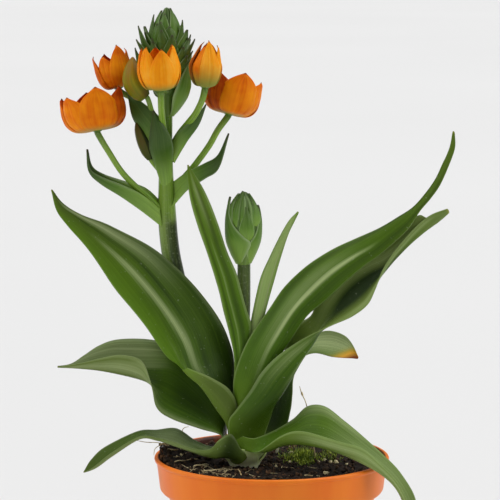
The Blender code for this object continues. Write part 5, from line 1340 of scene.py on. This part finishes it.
def make_head(name, head, bracts, finish, seed):
    """A head of bracts set round a tapered core, each turned by the golden angle."""
    draw = random.Random(seed)
    foot, tip, core = Vector(head["foot"]), Vector(head["tip"]), head["core"]
    tall = (tip - foot).length
    path = [foot.lerp(tip, ring / (len(core) - 1)) for ring in range(len(core))]
    layers = {"pale": lambda u, v: 0.25 * ramp(math.cos(18 * math.pi * u), 0.3, 1.0),
              "tone_and_shade": lambda u, v: 0.35, "dry": lambda u, v: 0.0}
    piece = stem(name + "_core", path, core, rows=90, cols=48, lobes=9, groove=0.02, layers=layers)
    dress(piece, finish, name)
    for way, (facing, stations) in bracts.items():
        stations = [(height, math.radians(half), out) for height, half, out in stations]
        place = wrap_place(head, math.radians(facing), stations)
        piece = bract_sheet(f"{name}_bract_{way}", place, 60, 30, middle=1.4, tone_and_shade=0.0)
        dress(piece, finish, name)

    scales, buds = [], []
    count = head["scales"]
    open_head = name == "head_main"
    hug = 1.0 if open_head else 0.3
    fillers = range(0, count, 2) if open_head else ()
    for number, scale in enumerate([*range(count), *(filler + 0.5 for filler in fillers)]):
        up = head["first"] + (scale + 0.5) / count * (head["last"] - head["first"])
        facing = GOLDEN_ANGLE * scale + head["turn"] + (2.2 if number >= count else 0.0)
        length = smooth_value(head["length"], up) * draw.uniform(0.92, 1.08)
        lean = smooth_value(head["lean"], up) * draw.uniform(0.9, 1.1)
        reach = smooth_value(core, up)
        width = smooth_value(head["width"], up) / reach
        stations = [(up * tall + length * share, min(width * spread, 1.2),
                     out * (lean * hug if out > 0 else 1)) for share, spread, out in SCALE_STATIONS]
        place = wrap_place(head, facing, stations, crease=0.7)
        tone_and_shade = draw.uniform(0.0, 0.35) * open_head
        scales.append(bract_sheet("scale", place, 24, 12, middle=1.6, tone_and_shade=tone_and_shade, dry=0.25 + 0.5 * open_head))
        if lean > 2.5 and number < count:
            path = [head_point(head, reach + out, facing, up * tall + rise) for out, rise in YOUNG_BUD]
            buds.append(stem("young_bud", path, YOUNG_BUD_RADII, rows=16, cols=18, lobes=3, groove=0.06,
                             layers={"tone_and_shade": lambda u, v: 0.55}))
    for facing, half, foot, middle, tip in SIDE_SCALES if open_head else ():
        place = side_scale_place(head, facing, half, foot, middle, tip)
        scales.append(bract_sheet("scale", place, 30, 10, middle=1.3, tone_and_shade=draw.uniform(0.1, 0.45)))
    for facing in () if open_head else CLOSED_BUDS_FACING:
        path = [head_point(head, smooth_value(core, up) + out, math.radians(facing), up * tall)
                for up, out in CLOSED_BUD]
        layers = {"pale": lambda u, v: 0.35 * ramp(math.cos(6 * math.pi * u), 0.6, 1.0)}
        buds.append(stem("closed_bud", path, CLOSED_BUD_RADII, rows=24, cols=18, lobes=3, groove=0.1,
                         layers=layers))
    dress(gather(name + "_scales", scales), finish, name)
    dress(gather(name + "_young_buds", buds), finish, name)
    if open_head:
        dome = []
        for facing, low, high, half, out in DOME:
            stations = [(low + (high - low) * share, math.radians(half) * spread, out * push)
                        for share, spread, push in DOME_STATIONS]
            place = wrap_place(head, math.radians(facing), stations)
            dome.append(bract_sheet("dome", place, 36, 20, middle=1.1, tone_and_shade=0.0))
        dress(gather(name + "_dome", dome), finish, name)


# Room, lights and camera

def make_room():
    """A wide pale floor, soft boxes above and at both sides, and the photograph's camera."""
    bpy.ops.mesh.primitive_plane_add(size=60)
    floor = bpy.context.object
    floor.name = "floor"
    # Matte paper sweep: even, nearly white, with faint clouds about 1.7 m apart
    made = new_finish("matte_floor", 0.9, 0.2)
    cloud = add(made, "TexNoise", {"Vector": add(made, "TexCoord", output="Object"), "Scale": 0.6})
    floor.data.materials.append(complete(made, "#DEDEDE", ((cloud, "#E4E4E4"),)))
    world = bpy.data.worlds.new("studio")
    world.use_nodes = True
    backdrop = world.node_tree.nodes["Background"]
    backdrop.inputs[0].default_value = (1.0, 1.0, 1.0, 1.0)
    backdrop.inputs[1].default_value = WORLD_LIGHT
    bpy.context.scene.world = world
    for name, heading, height, spread, strength in LIGHTS:
        lamp = bpy.data.lights.new(name, "SUN")
        lamp.angle = math.radians(spread)
        lamp.energy = strength
        lamp = bpy.data.objects.new(name, lamp)
        bpy.context.scene.collection.objects.link(lamp)
        lamp.rotation_euler = (math.radians(90.0 - height), 0.0, math.radians(heading))
    lens = bpy.data.cameras.new("camera")
    lens.lens = CAMERA_LENS
    lens.sensor_width = 36.0
    lens.clip_start = 0.05
    lens.clip_end = 100.0
    camera = bpy.data.objects.new("camera", lens)
    bpy.context.scene.collection.objects.link(camera)
    camera.location = Vector(CAMERA_AT) * MM
    camera.rotation_euler = (math.radians(90.0 - CAMERA_DOWN), 0.0, 0.0)
    bpy.context.scene.camera = camera
    bpy.context.scene.view_settings.view_transform = "Standard"


def make_all():
    leaf_green = leaf_finish()
    bract_green = bract_finish()
    stalk_green = stalk_finish()
    petal_orange = petal_finish()
    bud_olive = bud_finish()
    fleshy_neck = neck_finish()
    # Ripe ovary: smooth, nearly black-green, mottled about every 2 mm
    ovary_dark = speckled_finish("smooth_ovary", 0.35, "#2A3012", "#454A1E", 500.0, strength=0.15)
    # Open anther: dull with pollen, its grains gathered in clumps of 0.4 mm
    anther_yellow = speckled_finish("pollen_anther", 0.8, "#B8831A", "#E8B63A", 2500.0, depth=0.0002)
    # Peat: dull and nearly black, in crumbs of 1 to 3 mm
    peat = speckled_finish("peat", 0.95, "#0F0A06", "#2C1E13", 500.0, depth=0.0012, strength=0.9)
    # Crumbs of peat that have dried: dull brown in patches of 3 mm
    crumb_brown = speckled_finish("peat_crumbs", 0.95, "#1A110A", "#4E3A28", 300.0, depth=0.0006,
                                  strength=0.8)
    # Bark: dull red-brown chips with a grain of 4 mm
    bark = speckled_finish("bark_crumbs", 0.9, "#2A1A10", "#6A4C32", 260.0, depth=0.0006, strength=0.8)
    # Dry straw: pale, slightly glossy, in stretches of 5 mm that are browner or paler
    straw = speckled_finish("dry_straw", 0.7, "#8C6E42", "#E8D6A6", 180.0, low=0.35, high=0.55,
                            strength=0.2)
    # Expanded perlite: chalky white with pits of 1 mm
    perlite = speckled_finish("expanded_perlite", 0.95, "#B8AA7C", "#F0E4BC", 900.0, strength=0.8)
    # Moss: moist yellow-green leaflets, deeper green in patches of 3 mm
    moss = speckled_finish("cushion_moss", 0.6, "#44600E", "#B6C640", 300.0, strength=0.2)

    make_pot(pot_finish())
    make_soil(peat)
    make_crumbs(crumb_brown, "soil_crumbs", 900, (0.4, 1.5), SEED + 4, RIM_CRUMBS)
    make_crumbs(bark, "soil_bark", 240, (0.4, 1.6), SEED + 5)
    make_fibres(straw)
    make_perlite(perlite)
    make_moss(moss)
    make_neck(fleshy_neck)
    make_threads(straw, fleshy_neck)
    for name, stations in LEAVES.items():
        make_leaf(name, stations, leaf_green)
    make_stalks(stalk_green, bract_green)
    make_head("head_main", MAIN_HEAD, MAIN_HEAD_BRACTS, bract_green, SEED)
    make_head("head_short", SHORT_HEAD, SHORT_HEAD_BRACTS, bract_green, SEED + 1)
    for name, shape in FLOWERS.items():
        make_flower(name, shape, petal_orange, stalk_green, ovary_dark, anther_yellow)
    for name, (path, radius, darkness) in SINGLE_BUDS.items():
        make_bud(name, path, radius, darkness, bud_olive)
    make_room()


make_all()
